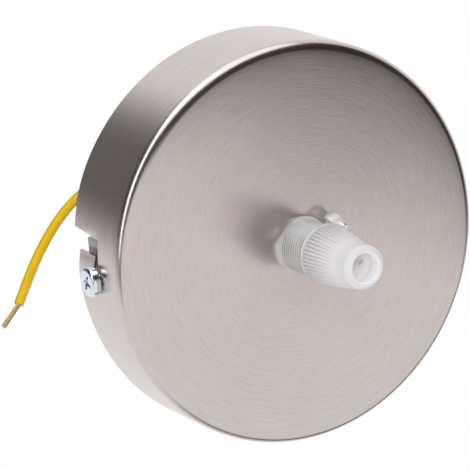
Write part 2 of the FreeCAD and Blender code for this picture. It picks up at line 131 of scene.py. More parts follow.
def shell_quads(keep):
    """Quads of a solid between two equal grids that run round, from a mask of the kept cells.

    Each kept cell gives one quad on the outer grid and a turned one on the inner grid. Each
    edge between a kept cell and a missing one gives a quad from the outer to the inner grid.
    """
    rows = keep.shape[0] + 1
    columns = keep.shape[1]
    left = np.arange(rows * columns).reshape(rows, columns)
    right = np.roll(left, -1, axis=1)
    inner = rows * columns
    corners = [grid[keep] for grid in (left[:-1], right[:-1], right[1:], left[1:])]
    found = [np.stack(corners, -1), np.stack(corners[::-1], -1) + inner]

    above = np.pad(keep, ((1, 0), (0, 0)))[:-1]
    below = np.pad(keep, ((0, 1), (0, 0)))[1:]
    for neighbour, row, flip in ((below, slice(1, None), True), (above, slice(-1), False)):
        edge = keep & ~neighbour
        first = left[row][edge]
        second = right[row][edge]
        side = np.stack([first, first + inner, second + inner, second], -1)
        found.append(side[:, ::-1] if flip else side)

    after = np.roll(keep, -1, axis=1)
    before = np.roll(keep, 1, axis=1)
    for neighbour, line, flip in ((after, right, True), (before, left, False)):
        edge = keep & ~neighbour
        upper = line[:-1][edge]
        lower = line[1:][edge]
        side = np.stack([upper, lower, lower + inner, upper + inner], -1)
        found.append(side[:, ::-1] if flip else side)
    return np.concatenate(found)


def piece_from(name, points, quads, body, slot, material, replaced, uv=None, marks=None):
    """A mesh from points in millimetres and quads, riding on a CAD body.

    The marks, values from 0 to 1 for each point, are kept under their names for the material.
    """
    mesh = bpy.data.meshes.new(name)
    mesh.vertices.add(len(points))
    mesh.vertices.foreach_set("co", (points * METRES).astype(np.float32).ravel())
    mesh.loops.add(quads.size)
    mesh.loops.foreach_set("vertex_index", quads.astype(np.int32).ravel())
    mesh.polygons.add(len(quads))
    starts = np.arange(0, quads.size, 4, dtype=np.int32)
    mesh.polygons.foreach_set("loop_start", starts)
    mesh.update(calc_edges=True)
    if uv is not None:
        layer = mesh.uv_layers.new(name="UVMap")
        layer.data.foreach_set("uv", uv[quads.ravel()].astype(np.float32).ravel())
    for label, amount in (marks or {}).items():
        values = mesh.attributes.new(label, "FLOAT", "POINT")
        values.data.foreach_set("value", amount.astype(np.float32).ravel())
    mesh.validate()
    mesh.materials.append(material)
    return placed_piece(name, mesh, body, slot, replaced)


def placed_piece(name, mesh, body, slot, replaced):
    """An object for a mesh, riding on a body in place of a CAD node."""
    piece = bpy.data.objects.new(name, mesh)
    bpy.context.scene.collection.objects.link(piece)
    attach(piece, body)
    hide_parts(replaced)
    return piece


def finish_edges(piece, bevel_width, sharp_angle=35.0):
    """Merges doubled points, rounds the sharp edges by a live bevel's result, and smooths."""
    work = bmesh.new()
    work.from_mesh(piece.data)
    bmesh.ops.remove_doubles(work, verts=work.verts, dist=MERGE_DISTANCE)
    bmesh.ops.dissolve_degenerate(work, edges=work.edges, dist=SLIVER_LENGTH)
    work.to_mesh(piece.data)
    work.free()
    piece.data.shade_smooth()
    if bevel_width:
        bevel = piece.modifiers.new("edge_round", "BEVEL")
        bevel.width = bevel_width * METRES
        bevel.segments = 2
        bevel.limit_method = "ANGLE"
        bevel.angle_limit = math.radians(sharp_angle)
        bevel.harden_normals = True
        view = bpy.context.evaluated_depsgraph_get()
        made = bpy.data.meshes.new_from_object(piece.evaluated_get(view), depsgraph=view)
        made.name = piece.name
        piece.modifiers.clear()
        piece.data = made
    else:
        piece.data.set_sharp_from_angle(angle=math.radians(sharp_angle))


# Shader helpers

# The middle of a noise's range, which is stretched over a look's range
NOISE_LOW = 0.3
NOISE_HIGH = 0.7


def node_links(tree):
    """Short ways to add a node and to link sockets in one tree."""

    def add(kind, **settings):
        node = tree.nodes.new(kind)
        for key, value in settings.items():
            setattr(node, key, value)
        return node

    return add, tree.links.new


def joined(add, link, operation, *values):
    """Numbers or sockets joined by a math operation."""
    node = add("ShaderNodeMath", operation=operation)
    for socket, value in zip(node.inputs, values):
        if isinstance(value, float):
            socket.default_value = value
        else:
            link(value, socket)
    return node.outputs[0]


def stepped(add, link, value, start, full):
    """0 on one side of start, 1 on the other side of full, and smooth between."""
    share = add("ShaderNodeMapRange", interpolation_type="SMOOTHSTEP")
    share.inputs["From Min"].default_value = start
    share.inputs["From Max"].default_value = full
    link(value, share.inputs["Value"])
    return share.outputs["Result"]


def ranged(add, link, noise, low, high):
    """A noise, stretched to low..high."""
    node = add("ShaderNodeMapRange")
    node.inputs["From Min"].default_value = NOISE_LOW
    node.inputs["From Max"].default_value = NOISE_HIGH
    node.inputs["To Min"].default_value = low
    node.inputs["To Max"].default_value = high
    link(noise, node.inputs["Value"])
    return node.outputs["Result"]


def two_tone(add, link, source, dark, light, start=NOISE_LOW, end=NOISE_HIGH):
    """A colour between dark and light, chosen by the source value."""
    ramp = add("ShaderNodeValToRGB")
    for element, position, tone in zip(ramp.color_ramp.elements, (start, end), (dark, light)):
        element.position = position
        element.color = (*tone, 1.0)
    link(source, ramp.inputs["Fac"])
    return ramp.outputs["Color"]


def bumped(add, link, source, distance):
    """A bump of this height in metres from the source value."""
    node = add("ShaderNodeBump")
    node.inputs["Distance"].default_value = distance
    node.inputs["Strength"].default_value = 1.0
    link(source, node.inputs["Height"])
    return node.outputs["Normal"]


def new_group(name, inputs, outputs):
    """An empty shader node group with named float inputs and outputs."""
    group = bpy.data.node_groups.new(name, "ShaderNodeTree")
    for label, default in inputs:
        socket = group.interface.new_socket(label, in_out="INPUT", socket_type="NodeSocketFloat")
        socket.default_value = default
    for label in outputs:
        group.interface.new_socket(label, in_out="OUTPUT", socket_type="NodeSocketFloat")
    add, link = node_links(group)
    return group, add, link, add("NodeGroupInput"), add("NodeGroupOutput")


def ring_brushing():
    """Streaks that run round the Z axis, on faces and walls alike.

    The noise is read at (x/r, y/r) times Around and at (r - z) times Across, so it changes
    slowly round the axis and quickly along the profile.
    """
    group, add, link, given, out = new_group(
        "ring_brushing", [("Around", 3.0), ("Across", 2000.0)], ["Streaks"]
    )
    place = add("ShaderNodeTexCoord")
    parts = add("ShaderNodeSeparateXYZ")
    link(place.outputs["Object"], parts.inputs[0])
    flat = add("ShaderNodeCombineXYZ")
    link(parts.outputs["X"], flat.inputs["X"])
    link(parts.outputs["Y"], flat.inputs["Y"])
    radius = add("ShaderNodeVectorMath", operation="LENGTH")
    link(flat.outputs[0], radius.inputs[0])
    outward = add("ShaderNodeVectorMath", operation="NORMALIZE")
    link(flat.outputs[0], outward.inputs[0])
    round_axis = add("ShaderNodeVectorMath", operation="SCALE")
    link(outward.outputs[0], round_axis.inputs[0])
    link(given.outputs["Around"], round_axis.inputs["Scale"])
    along = joined(add, link, "SUBTRACT", radius.outputs["Value"], parts.outputs["Z"])
    lift = add("ShaderNodeCombineXYZ")
    link(joined(add, link, "MULTIPLY", along, given.outputs["Across"]), lift.inputs["Z"])
    total = add("ShaderNodeVectorMath", operation="ADD")
    link(round_axis.outputs[0], total.inputs[0])
    link(lift.outputs[0], total.inputs[1])
    noise = add("ShaderNodeTexNoise")
    noise.inputs["Scale"].default_value = 1.0
    noise.inputs["Detail"].default_value = 3.0
    noise.inputs["Roughness"].default_value = 0.6
    link(total.outputs[0], noise.inputs["Vector"])
    link(noise.outputs["Fac"], out.inputs["Streaks"])
    return group


def surface_grain():
    """Even grain from two noises, coarse and fine, at Scale and at five times Scale."""
    group, add, link, given, out = new_group(
        "surface_grain", [("Scale", 400.0)], ["Cloud", "Grain"]
    )
    place = add("ShaderNodeTexCoord")
    for label, times in (("Cloud", 1.0), ("Grain", 5.0)):
        noise = add("ShaderNodeTexNoise")
        noise.inputs["Detail"].default_value = 4.0
        link(place.outputs["Object"], noise.inputs["Vector"])
        scale = joined(add, link, "MULTIPLY", given.outputs["Scale"], times)
        link(scale, noise.inputs["Scale"])
        link(noise.outputs["Fac"], out.inputs[label])
    return group


def new_material(name):
    """A material, its Principled shader, and ways to add and link nodes."""
    material = bpy.data.materials.new(name)
    material.use_nodes = True
    tree = material.node_tree
    add, link = node_links(tree)
    return material, tree.nodes["Principled BSDF"], add, link


def placed(add, group, **values):
    """One use of a node group with its own input values."""
    node = add("ShaderNodeGroup")
    node.node_tree = group
    for key, value in values.items():
        node.inputs[key].default_value = value
    return node


# Finishes: gloss is the least and most roughness, clouds the scale of the grain, and relief the
# height of the bump in metres

NICKEL_DARK = (0.554, 0.498, 0.478)
NICKEL_LIGHT = (0.636, 0.574, 0.552)
NICKEL_GLOSS = (0.20, 0.26)
NICKEL_CLOUDS = 55.0
NICKEL_RELIEF = 0.000011
FINE_STREAKS = {"Around": 9.0, "Across": 3600.0}
BROAD_STREAKS = {"Around": 6.0, "Across": 1500.0}
BROAD_SHARE = 0.4

# Plated pieces: dark tone, light tone, gloss, clouds and relief
PLATED_FINISHES = {
    "zinc_strip": ((0.28, 0.28, 0.285), (0.38, 0.38, 0.39), (0.30, 0.46), 420.0, 4e-6),
    "zinc_bright": ((0.66, 0.70, 0.76), (0.80, 0.84, 0.88), (0.12, 0.24), 500.0, 2e-6),
    "tin_plate": ((0.58, 0.56, 0.53), (0.72, 0.70, 0.67), (0.22, 0.36), 600.0, 3e-6),
    "bare_brass": ((0.64, 0.47, 0.23), (0.80, 0.62, 0.35), (0.22, 0.36), 500.0, 1.5e-6),
}

# Clear plastics: tone on crests, painted shade tone in the grooves and thread roots, gloss, milk,
# and share of light that passes
PLASTIC_FINISHES = {
    "plastic_clear": ((0.99, 0.98, 0.97), (0.20, 0.195, 0.19), (0.03, 0.07), 0.38, 0.0),
    "plastic_glassy": ((0.99, 0.985, 0.985), (0.20, 0.195, 0.19), (0.02, 0.05), 0.36, 0.0),
    "plastic_frosted": ((1.0, 0.99, 1.0), (0.52, 0.515, 0.53), (0.03, 0.06), 0.62, 0.52),
}
PLASTIC_CLOUDS = 260.0
PLASTIC_RELIEF = 0.000002

YELLOW_TONES = ((0.60, 0.355, 0.0), (0.65, 0.39, 0.0))
GREEN_TONES = ((0.33, 0.36, 0.0), (0.38, 0.41, 0.0))
INSULATION_GLOSS = (0.34, 0.5)
INSULATION_CLOUDS = 700.0
INSULATION_RELIEF = 0.000008
# The green stripe's centre, half width and half its soft edge, in turns round the wire
STRIPE_CENTRE = 0.43
STRIPE_HALF_WIDTH = 0.12
STRIPE_BLUR = 0.02

brushing = ring_brushing()
grain = surface_grain()


def satin_nickel():
    """Brushed nickel plate: fine streaks round the axis in colour, gloss and relief."""
    material, shader, add, link = new_material("satin_nickel")
    fine = placed(add, brushing, **FINE_STREAKS).outputs[0]
    broad = placed(add, brushing, **BROAD_STREAKS).outputs[0]
    cloud = placed(add, grain, Scale=NICKEL_CLOUDS)
    fine_part = joined(add, link, "MULTIPLY", fine, 1.0 - BROAD_SHARE)
    streaks = joined(add, link, "MULTIPLY_ADD", broad, BROAD_SHARE, fine_part)
    link(two_tone(add, link, streaks, NICKEL_DARK, NICKEL_LIGHT), shader.inputs["Base Color"])
    shader.inputs["Metallic"].default_value = 1.0
    link(ranged(add, link, cloud.outputs["Cloud"], *NICKEL_GLOSS), shader.inputs["Roughness"])
    shader.inputs["Anisotropic"].default_value = 0.5
    shader.inputs["Anisotropic Rotation"].default_value = 0.25
    tangent = add("ShaderNodeTangent", direction_type="RADIAL", axis="Z")
    link(tangent.outputs[0], shader.inputs["Tangent"])
    link(bumped(add, link, fine, NICKEL_RELIEF), shader.inputs["Normal"])
    return material


def plated_metal(name, dark, light, gloss, clouds, relief):
    """Plated metal: cloudy colour, uneven gloss and a faint grain."""
    material, shader, add, link = new_material(name)
    cloud = placed(add, grain, Scale=clouds)
    tone = two_tone(add, link, cloud.outputs["Cloud"], dark, light)
    link(tone, shader.inputs["Base Color"])
    shader.inputs["Metallic"].default_value = 1.0
    link(ranged(add, link, cloud.outputs["Grain"], *gloss), shader.inputs["Roughness"])
    link(bumped(add, link, cloud.outputs["Grain"], relief), shader.inputs["Normal"])
    return material


def clear_plastic(name, crest, root, gloss, milk, passing):
    """Clear moulded plastic, with painted shade that darkens it where its mesh is marked as
    groove.

    The milk is the share of light that it scatters. The passing share of all light goes through
    the wall and spreads.
    """
    material, shader, add, link = new_material(name)
    cloud = placed(add, grain, Scale=PLASTIC_CLOUDS)
    # The groove mark carries painted shade: it moves the colour from the crest tone to the darker
    # groove tone
    depth = add("ShaderNodeAttribute", attribute_name="groove")
    tone = two_tone(add, link, depth.outputs["Fac"], crest, root, 0.0, 1.0)
    link(tone, shader.inputs["Base Color"])
    shader.inputs["Transmission Weight"].default_value = 1.0 - milk
    shader.inputs["IOR"].default_value = 1.5
    shader.inputs["Coat Weight"].default_value = 1.0
    shader.inputs["Coat Roughness"].default_value = 0.02
    if passing:
        spread = add("ShaderNodeBsdfTranslucent")
        link(tone, spread.inputs["Color"])
        mix = add("ShaderNodeMixShader")
        mix.inputs[0].default_value = passing
        link(shader.outputs[0], mix.inputs[1])
        link(spread.outputs[0], mix.inputs[2])
        link(mix.outputs[0], material.node_tree.nodes["Material Output"].inputs["Surface"])
    link(ranged(add, link, cloud.outputs["Cloud"], *gloss), shader.inputs["Roughness"])
    link(bumped(add, link, cloud.outputs["Grain"], PLASTIC_RELIEF), shader.inputs["Normal"])
    return material


def striped_insulation():
    """Yellow insulation with a green stripe along it, by the angle in the UV map."""
    material, shader, add, link = new_material("earth_insulation")
    place = add("ShaderNodeTexCoord")
    parts = add("ShaderNodeSeparateXYZ")
    link(place.outputs["UV"], parts.inputs[0])
    shifted = joined(add, link, "ADD", parts.outputs["X"], -STRIPE_CENTRE)
    from_centre = joined(add, link, "PINGPONG", shifted, 0.5)
    outer = STRIPE_HALF_WIDTH + STRIPE_BLUR
    inner = STRIPE_HALF_WIDTH - STRIPE_BLUR
    stripe = stepped(add, link, from_centre, outer, inner)
    cloud = placed(add, grain, Scale=INSULATION_CLOUDS)
    mix = add("ShaderNodeMix", data_type="RGBA")
    link(stripe, mix.inputs["Factor"])
    link(two_tone(add, link, cloud.outputs["Cloud"], *YELLOW_TONES), mix.inputs["A"])
    link(two_tone(add, link, cloud.outputs["Cloud"], *GREEN_TONES), mix.inputs["B"])
    link(mix.outputs["Result"], shader.inputs["Base Color"])
    shader.inputs["Specular IOR Level"].default_value = 0.2
    link(ranged(add, link, cloud.outputs["Grain"], *INSULATION_GLOSS), shader.inputs["Roughness"])
    link(bumped(add, link, cloud.outputs["Grain"], INSULATION_RELIEF), shader.inputs["Normal"])
    return material


nickel = satin_nickel()
plated = {name: plated_metal(name, *finish) for name, finish in PLATED_FINISHES.items()}
plastic = {name: clear_plastic(name, *finish) for name, finish in PLASTIC_FINISHES.items()}
insulation = striped_insulation()


# Canopy

CUP_WALL = 0.8
EDGE_DROP = 2.4
EDGE_REACH = 2.4
EDGE_ROUND = 0.12
# The face's slight crown: (power of radius / cup radius, depth in mm)
FACE_CROWN = ((2.0, 0.15), (12.0, 0.25))
HOLE_RADIUS = 5.15
FACE_RING_START = 7.0
FACE_RINGS = 30
EDGE_RINGS = 18
# Where the wall is drawn in beside each screw: azimuths from the screw at which the dent
# starts, is full, begins to fall and ends
DENT_ANGLES = (-31.0, 7.0, 11.0, 73.0)
DENT_DEPTH = 1.7
DENT_FOOT_Z = FACE_Z + 4.0
# The bent lip between the slot and the rim. Its bend begins the lead angle before its free end,
# and is full after the rise, in degrees.
LIP_BEND = 1.25
LIP_ROOT_ANGLE = 5.0
LIP_END_Y = -5.4
LIP_LEAD_ANGLE = 7.0
LIP_LEAD_RISE = 3.5
# The slot, with its round seat under the screw's head. Y is from the screw, Z as in the part.
ENTRY_Y_AT_RIM = -11.4
ENTRY_Y_INSIDE = -10.4
ENTRY_MARGIN = 0.4
CHANNEL_TOP_Z = -8.4
CHANNEL_FRONT_Z = -12.6
SEAT_RADIUS = 2.7
SEAT_Z = CHANNEL_TOP_Z - SEAT_RADIUS
SEAT_FADE = 3.4
BESIDE_SEAT_Y = 6.0
# Columns follow lines of equal Y near the slot, and equal angles past the zone's end
COLUMN_REACH = 24.0
COLUMN_ZONE = (25.0, 30.0)
FAR_COLUMNS = 30
SOLVING_ROUNDS = 4
# Steps up the wall: to the dent's foot, the slot's front, the slot's top and the rim
WALL_STEPS = (2, 8, 6, 8)


def rim_dent(angle):
    """How far the wall is drawn in at an angle from its side screw: a smooth rise and fall."""
    start, full, hold, end = DENT_ANGLES
    rise = smooth_step((angle - start) / (full - start))
    fall = smooth_step((angle - hold) / (end - hold))
    return DENT_DEPTH * rise * (1.0 - fall)


def lip_dent(angle):
    """The lip's own bend: greatest at its free end, and falling with the square to its root."""
    free = -math.degrees(math.asin(-LIP_END_Y / CUP_RADIUS))
    along = np.clip((angle - free) / (LIP_ROOT_ANGLE - free), 0.0, 1.0)
    lead = smooth_step((angle - free + LIP_LEAD_ANGLE) / LIP_LEAD_RISE)
    return LIP_BEND * np.where(angle < free, lead, (1.0 - along) ** 2)


def wall_radius(angle, z, inward):
    """Radius of the wall: the cup's own, less the dent's share from its foot up to the rim."""
    share = np.clip((z - DENT_FOOT_Z) / -DENT_FOOT_Z, 0.0, 1.0)
    lip_share = np.clip((z - CHANNEL_FRONT_Z) / (CHANNEL_TOP_Z - CHANNEL_FRONT_Z), 0.0, 1.0)
    return CUP_RADIUS - inward - share * rim_dent(angle) - lip_share * lip_dent(angle)


def canopy_columns():
    """Base angles of one side's columns, from its screw.

    Near the screw they follow the slot's outline in Y; a sine spacing follows the round seat.
    """
    seat_start = -math.sqrt(SEAT_RADIUS**2 - (CHANNEL_FRONT_Z - SEAT_Z) ** 2)
    before_entry = ENTRY_Y_INSIDE - ENTRY_MARGIN
    slot = spaced(
        (-COLUMN_REACH, before_entry, 9),
        (before_entry, ENTRY_Y_INSIDE, 1),
        (ENTRY_Y_INSIDE, LIP_END_Y, 6),
        (LIP_END_Y, seat_start, 5),
    )
    arc_start = math.asin(seat_start / SEAT_RADIUS)
    seat = SEAT_RADIUS * np.sin(spaced((arc_start, 0.0, 6), (0.0, math.pi / 2, 9))[1:])
    beyond = spaced((SEAT_RADIUS, BESIDE_SEAT_Y, 6), (BESIDE_SEAT_Y, COLUMN_REACH, 12))[1:]
    near = np.degrees(np.arcsin(np.concatenate([slot, seat, beyond]) / CUP_RADIUS))
    low = np.linspace(-90.0, near[0], FAR_COLUMNS)[:-1]
    high = np.linspace(near[-1], 90.0, FAR_COLUMNS)[1:-1]
    return np.concatenate([low, near, high])


def canopy_profile(inward):
    """Rows of (radius, z) from the cord hole over the face and round the edge.

    The face falls back by a slight crown, the sum of depth x (radius / cup radius)^power, and
    a quarter ellipse is added to it round the edge.
    """
    reach = EDGE_REACH - inward
    drop = EDGE_DROP - inward
    flat_end = CUP_RADIUS - EDGE_REACH
    flat = np.concatenate([[HOLE_RADIUS], np.linspace(FACE_RING_START, flat_end, FACE_RINGS)])
    turn = np.linspace(0.0, math.pi / 2, EDGE_RINGS + 1)[1:]
    radii = np.concatenate([flat, CUP_RADIUS - inward - reach * (1.0 - np.sin(turn))])
    z = np.concatenate([np.zeros(len(flat)), drop * (1.0 - np.cos(turn))])
    outer_radii = np.minimum(radii + inward * (radii > flat_end), CUP_RADIUS)
    for power, depth in FACE_CROWN:
        z += depth * ((outer_radii / CUP_RADIUS) ** power - (HOLE_RADIUS / CUP_RADIUS) ** power)
    return radii, z + FACE_Z + inward


def wall_heights(y, start_z):
    """Z of the wall's rows, for columns at these distances in Y from the screw.

    Rows are evenly spaced between the dent's foot, the slot's front and top lines and the rim.
    The two slot lines bulge round the seat: z = seat centre -/+ sqrt(R^2 - y^2).
    """
    round_seat = np.sqrt(np.clip(SEAT_RADIUS**2 - y**2, 0.0, None))
    relax = smooth_step((y - SEAT_RADIUS) / SEAT_FADE)
    front = SEAT_Z - round_seat + (CHANNEL_FRONT_Z - SEAT_Z) * relax
    top = SEAT_Z + round_seat + (CHANNEL_TOP_Z - SEAT_Z) * relax
    lines = [
        np.full_like(y, start_z),
        np.full_like(y, DENT_FOOT_Z),
        np.where(y > 0.0, front, np.minimum(front, CHANNEL_FRONT_Z)),
        np.where(y > 0.0, top, CHANNEL_TOP_Z),
        np.zeros_like(y),
    ]
    rows = []
    for low, high, steps in zip(lines[:-1], lines[1:], WALL_STEPS):
        share = np.linspace(0.0, 1.0, steps + 1)[1:, None]
        rows.append(low + (high - low) * share)
    return np.concatenate(rows)


def wall_angles(base, y, z, inward):
    """Angles of the wall's points, solved so that columns near the slot keep to their Y.

    The slot's entry slants a little, so its columns move outwards towards the rim.
    """
    above_front = np.clip((z - CHANNEL_FRONT_Z) / -CHANNEL_FRONT_Z, 0.0, 1.0)
    slant = (ENTRY_Y_AT_RIM - ENTRY_Y_INSIDE) * above_front
    left_part = smooth_step((y + COLUMN_REACH) / (COLUMN_REACH + ENTRY_Y_INSIDE))
    right_part = np.clip((LIP_END_Y - y) / (LIP_END_Y - ENTRY_Y_INSIDE), 0.0, 1.0)
    target = y + slant * left_part * right_part
    zone_start, zone_end = COLUMN_ZONE
    near = smooth_step((zone_end - np.abs(y)) / (zone_end - zone_start))
    angle = np.broadcast_to(base, z.shape)
    for _ in range(SOLVING_ROUNDS):
        radius = wall_radius(angle, z, inward)
        solved = np.degrees(np.arcsin(np.clip(target / radius, -1.0, 1.0)))
        angle = base + (solved - base) * near
    return angle


def canopy_surface(inward):
    """The cup's outer or inner surface as a grid of points, columns once round."""
    base = canopy_columns()
    y = CUP_RADIUS * np.sin(np.radians(base))
    flat_radii, flat_z = canopy_profile(inward)
    wall_z = wall_heights(y, flat_z[-1])
    wall_angle = wall_angles(base, y, wall_z, inward)
    flat_shape = (len(flat_z), len(base))
    radii = np.concatenate(
        [np.broadcast_to(flat_radii[:, None], flat_shape), wall_radius(wall_angle, wall_z, inward)]
    )
    z = np.concatenate([np.broadcast_to(flat_z[:, None], flat_shape), wall_z])
    angles = np.concatenate([np.broadcast_to(base, flat_shape), wall_angle])
    half_turns = []
    for screw_azimuth in (180.0, 0.0):
        azimuth = np.radians(screw_azimuth - angles)
        half_turns.append(np.stack([radii * np.cos(azimuth), radii * np.sin(azimuth), z], -1))
    return np.concatenate(half_turns, axis=1)


def make_canopy():
    """Drawn cup with its two bayonet slots, as a solid between two surfaces."""
    outer = canopy_surface(0.0)
    inner = canopy_surface(CUP_WALL)
    base = canopy_columns()
    y = CUP_RADIUS * np.sin(np.radians((base[:-1] + base[1:]) / 2))
    keep = np.ones((outer.shape[0] - 1, outer.shape[1]), bool)
    front_row = len(canopy_profile(0.0)[0]) - 1 + sum(WALL_STEPS[:2])
    top_row = front_row + WALL_STEPS[2]
    channel = (y > ENTRY_Y_INSIDE) & (y < SEAT_RADIUS)
    entry = (y > ENTRY_Y_INSIDE) & (y < LIP_END_Y)
    for side_start in (0, len(base)):
        columns = np.arange(len(y)) + side_start
        keep[front_row:top_row, columns[channel]] = False
        keep[top_row:, columns[entry]] = False
    points = np.concatenate([outer.reshape(-1, 3), inner.reshape(-1, 3)])
    quads = shell_quads(keep)
    piece = piece_from("canopy_cup", points, quads, "canopy", "satin_nickel", nickel, "canopy")
    finish_edges(piece, EDGE_ROUND)


make_canopy()


# Earth wire, in metres

# Its route, from the ring terminal to the stripped end
WIRE_ROUTE = [
    (0.00864, -0.01042, -0.0028),
    (0.0049, -0.0179, -0.0033),
    (-0.0056, -0.0249, -0.0056),
    (-0.0177, -0.0281, -0.0070),
    (-0.0285, -0.0270, -0.0050),
    (-0.0380, -0.0223, -0.0012),
    (-0.0448, -0.0181, 0.0020),
    (-0.0513, -0.0136, 0.0018),
    (-0.0576, -0.0078, 0.0004),
    (-0.0624, -0.0026, -0.0013),
    (-0.0670, 0.0031, -0.0031),
]
WIRE_DIAMETER = 0.0024
WIRE_COLUMNS = 33
# The discs that close its ends: shares of the radius from hub to edge, and their bulges
DISC_SHARES = (0.05, 0.93)
FIRST_BULGE = 0.00004
LAST_BULGE = 0.00006


def route_line(points):
    """The wire's centreline: points read from the NURBS spline through its route."""
    curve = bpy.data.curves.new("earth_route", "CURVE")
    curve.dimensions = "3D"
    curve.resolution_u = 16
    spline = curve.splines.new("NURBS")
    spline.points.add(len(points) - 1)
    for point, place in zip(spline.points, points):
        point.co = (*place, 1.0)
    spline.order_u = 3
    spline.use_endpoint_u = True
    holder = bpy.data.objects.new("earth_route", curve)
    line = bpy.data.meshes.new_from_object(holder)
    found = np.zeros(len(line.vertices) * 3)
    line.vertices.foreach_get("co", found)
    bpy.data.objects.remove(holder)
    bpy.data.curves.remove(curve)
    bpy.data.meshes.remove(line)
    return found.reshape(-1, 3)


def make_earth_wire(line):
    """The insulated tube: circles across the centreline, closed by discs at both ends."""
    tangent = unit(np.gradient(line, axis=0))
    level, rising = (normal[:, None] for normal in side_frames(tangent))
    angle = np.linspace(0.0, TURN, WIRE_COLUMNS)
    ring = level * np.cos(angle)[:, None] + rising * np.sin(angle)[:, None]
    ring *= WIRE_DIAMETER / 2
    shares = np.array(DISC_SHARES)[:, None, None]
    first = line[0] + ring[0] * shares - tangent[0] * FIRST_BULGE
    last = line[-1] + ring[-1] * shares[::-1] + tangent[-1] * LAST_BULGE
    points = np.concatenate([first, line[:, None] + ring, last])
    length = np.linalg.norm(np.diff(line, axis=0), axis=1)
    along = np.concatenate([[0.0], np.cumsum(length)])
    along = np.pad(along, len(DISC_SHARES), mode="edge")
    uv = np.stack(np.broadcast_arrays(angle / TURN, along[:, None]), -1)
    piece = piece_from(
        "earth_wire_tube",
        points.reshape(-1, 3) / METRES,
        grid_faces(len(points), WIRE_COLUMNS, False)[:, ::-1],
        "bracket",
        "earth_insulation",
        insulation,
        "earth_wire",
        uv.reshape(-1, 2),
    )
    piece.data.shade_smooth()
    piece.visible_glossy = False
    return piece


# Bare strands, in millimetres

STRANDS_END = (-73.0, 7.3, -5.0)
STRANDS_END_GAP = 0.05
STRANDS_COVERED = 0.6
STRAND_RADIUS = 0.125
STRAND_TIP_RADIUS = 0.01
# Rings of strands: distance from the conductor's axis, number, and angle of the first
STRAND_RINGS = ((0.0, 1, 0.0), (0.245, 6, 0.0), (0.49, 12, 0.26))
STRAND_TURNS = 0.05
STRAND_SHORTFALL = 0.03
STRAND_SPREAD = 0.05
SPREAD_START = 0.7
STRAND_STEPS = 26
STRAND_COLUMNS = 9
STRAND_SEED = 4


def make_strands(line):
    """Nineteen twisted strands past the stripped end, each a helix of its own tube.

    A strand's centre lies at its own radius from the conductor's axis and turns with the
    distance along it; the strands spread a little towards their cut ends.
    """
    start = line[-1] / METRES
    run = np.array(STRANDS_END) - start
    axis = unit(run)
    length = np.linalg.norm(run) - STRANDS_END_GAP
    level, rising = side_frames(axis)
    centre_radius = np.concatenate([np.full(count, away) for away, count, _ in STRAND_RINGS])
    phase = np.concatenate(
        [np.arange(count) / count * TURN + lead for _, count, lead in STRAND_RINGS]
    )
    share = np.linspace(0.0, 1.0, STRAND_STEPS)
    random = np.random.default_rng(STRAND_SEED)
    reach = 1.0 - STRAND_SHORTFALL * random.random(len(phase))
    spread_share = smooth_step((share - SPREAD_START) / (1.0 - SPREAD_START))
    spread = 1.0 + STRAND_SPREAD * random.random(len(phase))[:, None] * spread_share
    twist = phase[:, None] + TURN * STRAND_TURNS * share
    along = -STRANDS_COVERED + (length + STRANDS_COVERED) * share * reach[:, None]
    side = level * np.cos(twist)[..., None] + rising * np.sin(twist)[..., None]
    radius = centre_radius[:, None] * spread
    centre = start + axis * along[..., None] + side * radius[..., None]
    tangent = unit(np.gradient(centre, axis=1))
    first = unit(np.cross(tangent, side))[:, :, None]
    second = np.cross(first, tangent[:, :, None])
    angle = np.linspace(0.0, TURN, STRAND_COLUMNS)[:, None]
    size = np.full(STRAND_STEPS, STRAND_RADIUS)
    size[[0, -1]] = STRAND_TIP_RADIUS
    ring = (first * np.cos(angle) + second * np.sin(angle)) * size[:, None, None]
    # The last ring closes the cut end, so it lies in the plane of the one before
    centre[:, -1] = centre[:, -2]
    points = centre[:, :, None] + ring
    quads = grid_faces(STRAND_STEPS, STRAND_COLUMNS, False)[:, ::-1]
    offsets = np.arange(len(phase))[:, None, None] * STRAND_STEPS * STRAND_COLUMNS
    piece = piece_from(
        "earth_strands",
        points.reshape(-1, 3),
        (quads + offsets).reshape(-1, 4),
        "bracket",
        "bare_copper",
        plated["bare_brass"],
        "earth_conductor",
    )
    piece.data.shade_smooth()
    return piece


wire_line = route_line(WIRE_ROUTE)
wire = make_earth_wire(wire_line)
strands = make_strands(wire_line)


# Cord grip, with heights in millimetres below the face of the cup

THREAD_PITCH = 1.0
# Painted shade in grooves and thread roots is their depth to this power, so that the shade deepens
# near their roots
GROOVE_SHADE_POWER = 2.2

BODY_TOP = FACE_Z - body_high[2]
BODY_END = FACE_Z - body_low[2]
BODY_COLUMNS = 150
BORE_RADIUS = 3.3
STEM_RADIUS = 4.95
STEM_CHAMFER = 0.5
STEM_PLAIN = 0.4
FLANGE_RADIUS = 7.2
FLANGE_HEIGHT = 1.3
FLANGE_FLAT = 6.2
FLANGE_FLAT_AZIMUTH = 46.0
COLLAR_RADIUS = 6.6
COLLAR_END = 12.9
COLLAR_CHAMFER = 0.5
COLLAR_UNDERCUT = 0.15
BODY_THREAD_DEPTH = 0.32
FINGERS = 4
FINGER_ROOT_RADIUS = 5.3
FINGER_TIP_RADIUS = 4.2
FINGER_SLOT_START = 13.9
FINGER_SLOT_WIDTH = 1.0
FINGER_SLOT_RADIUS = 4.6
FINGER_SLOT_ANGLE = FINGER_SLOT_WIDTH / 2 / FINGER_SLOT_RADIUS
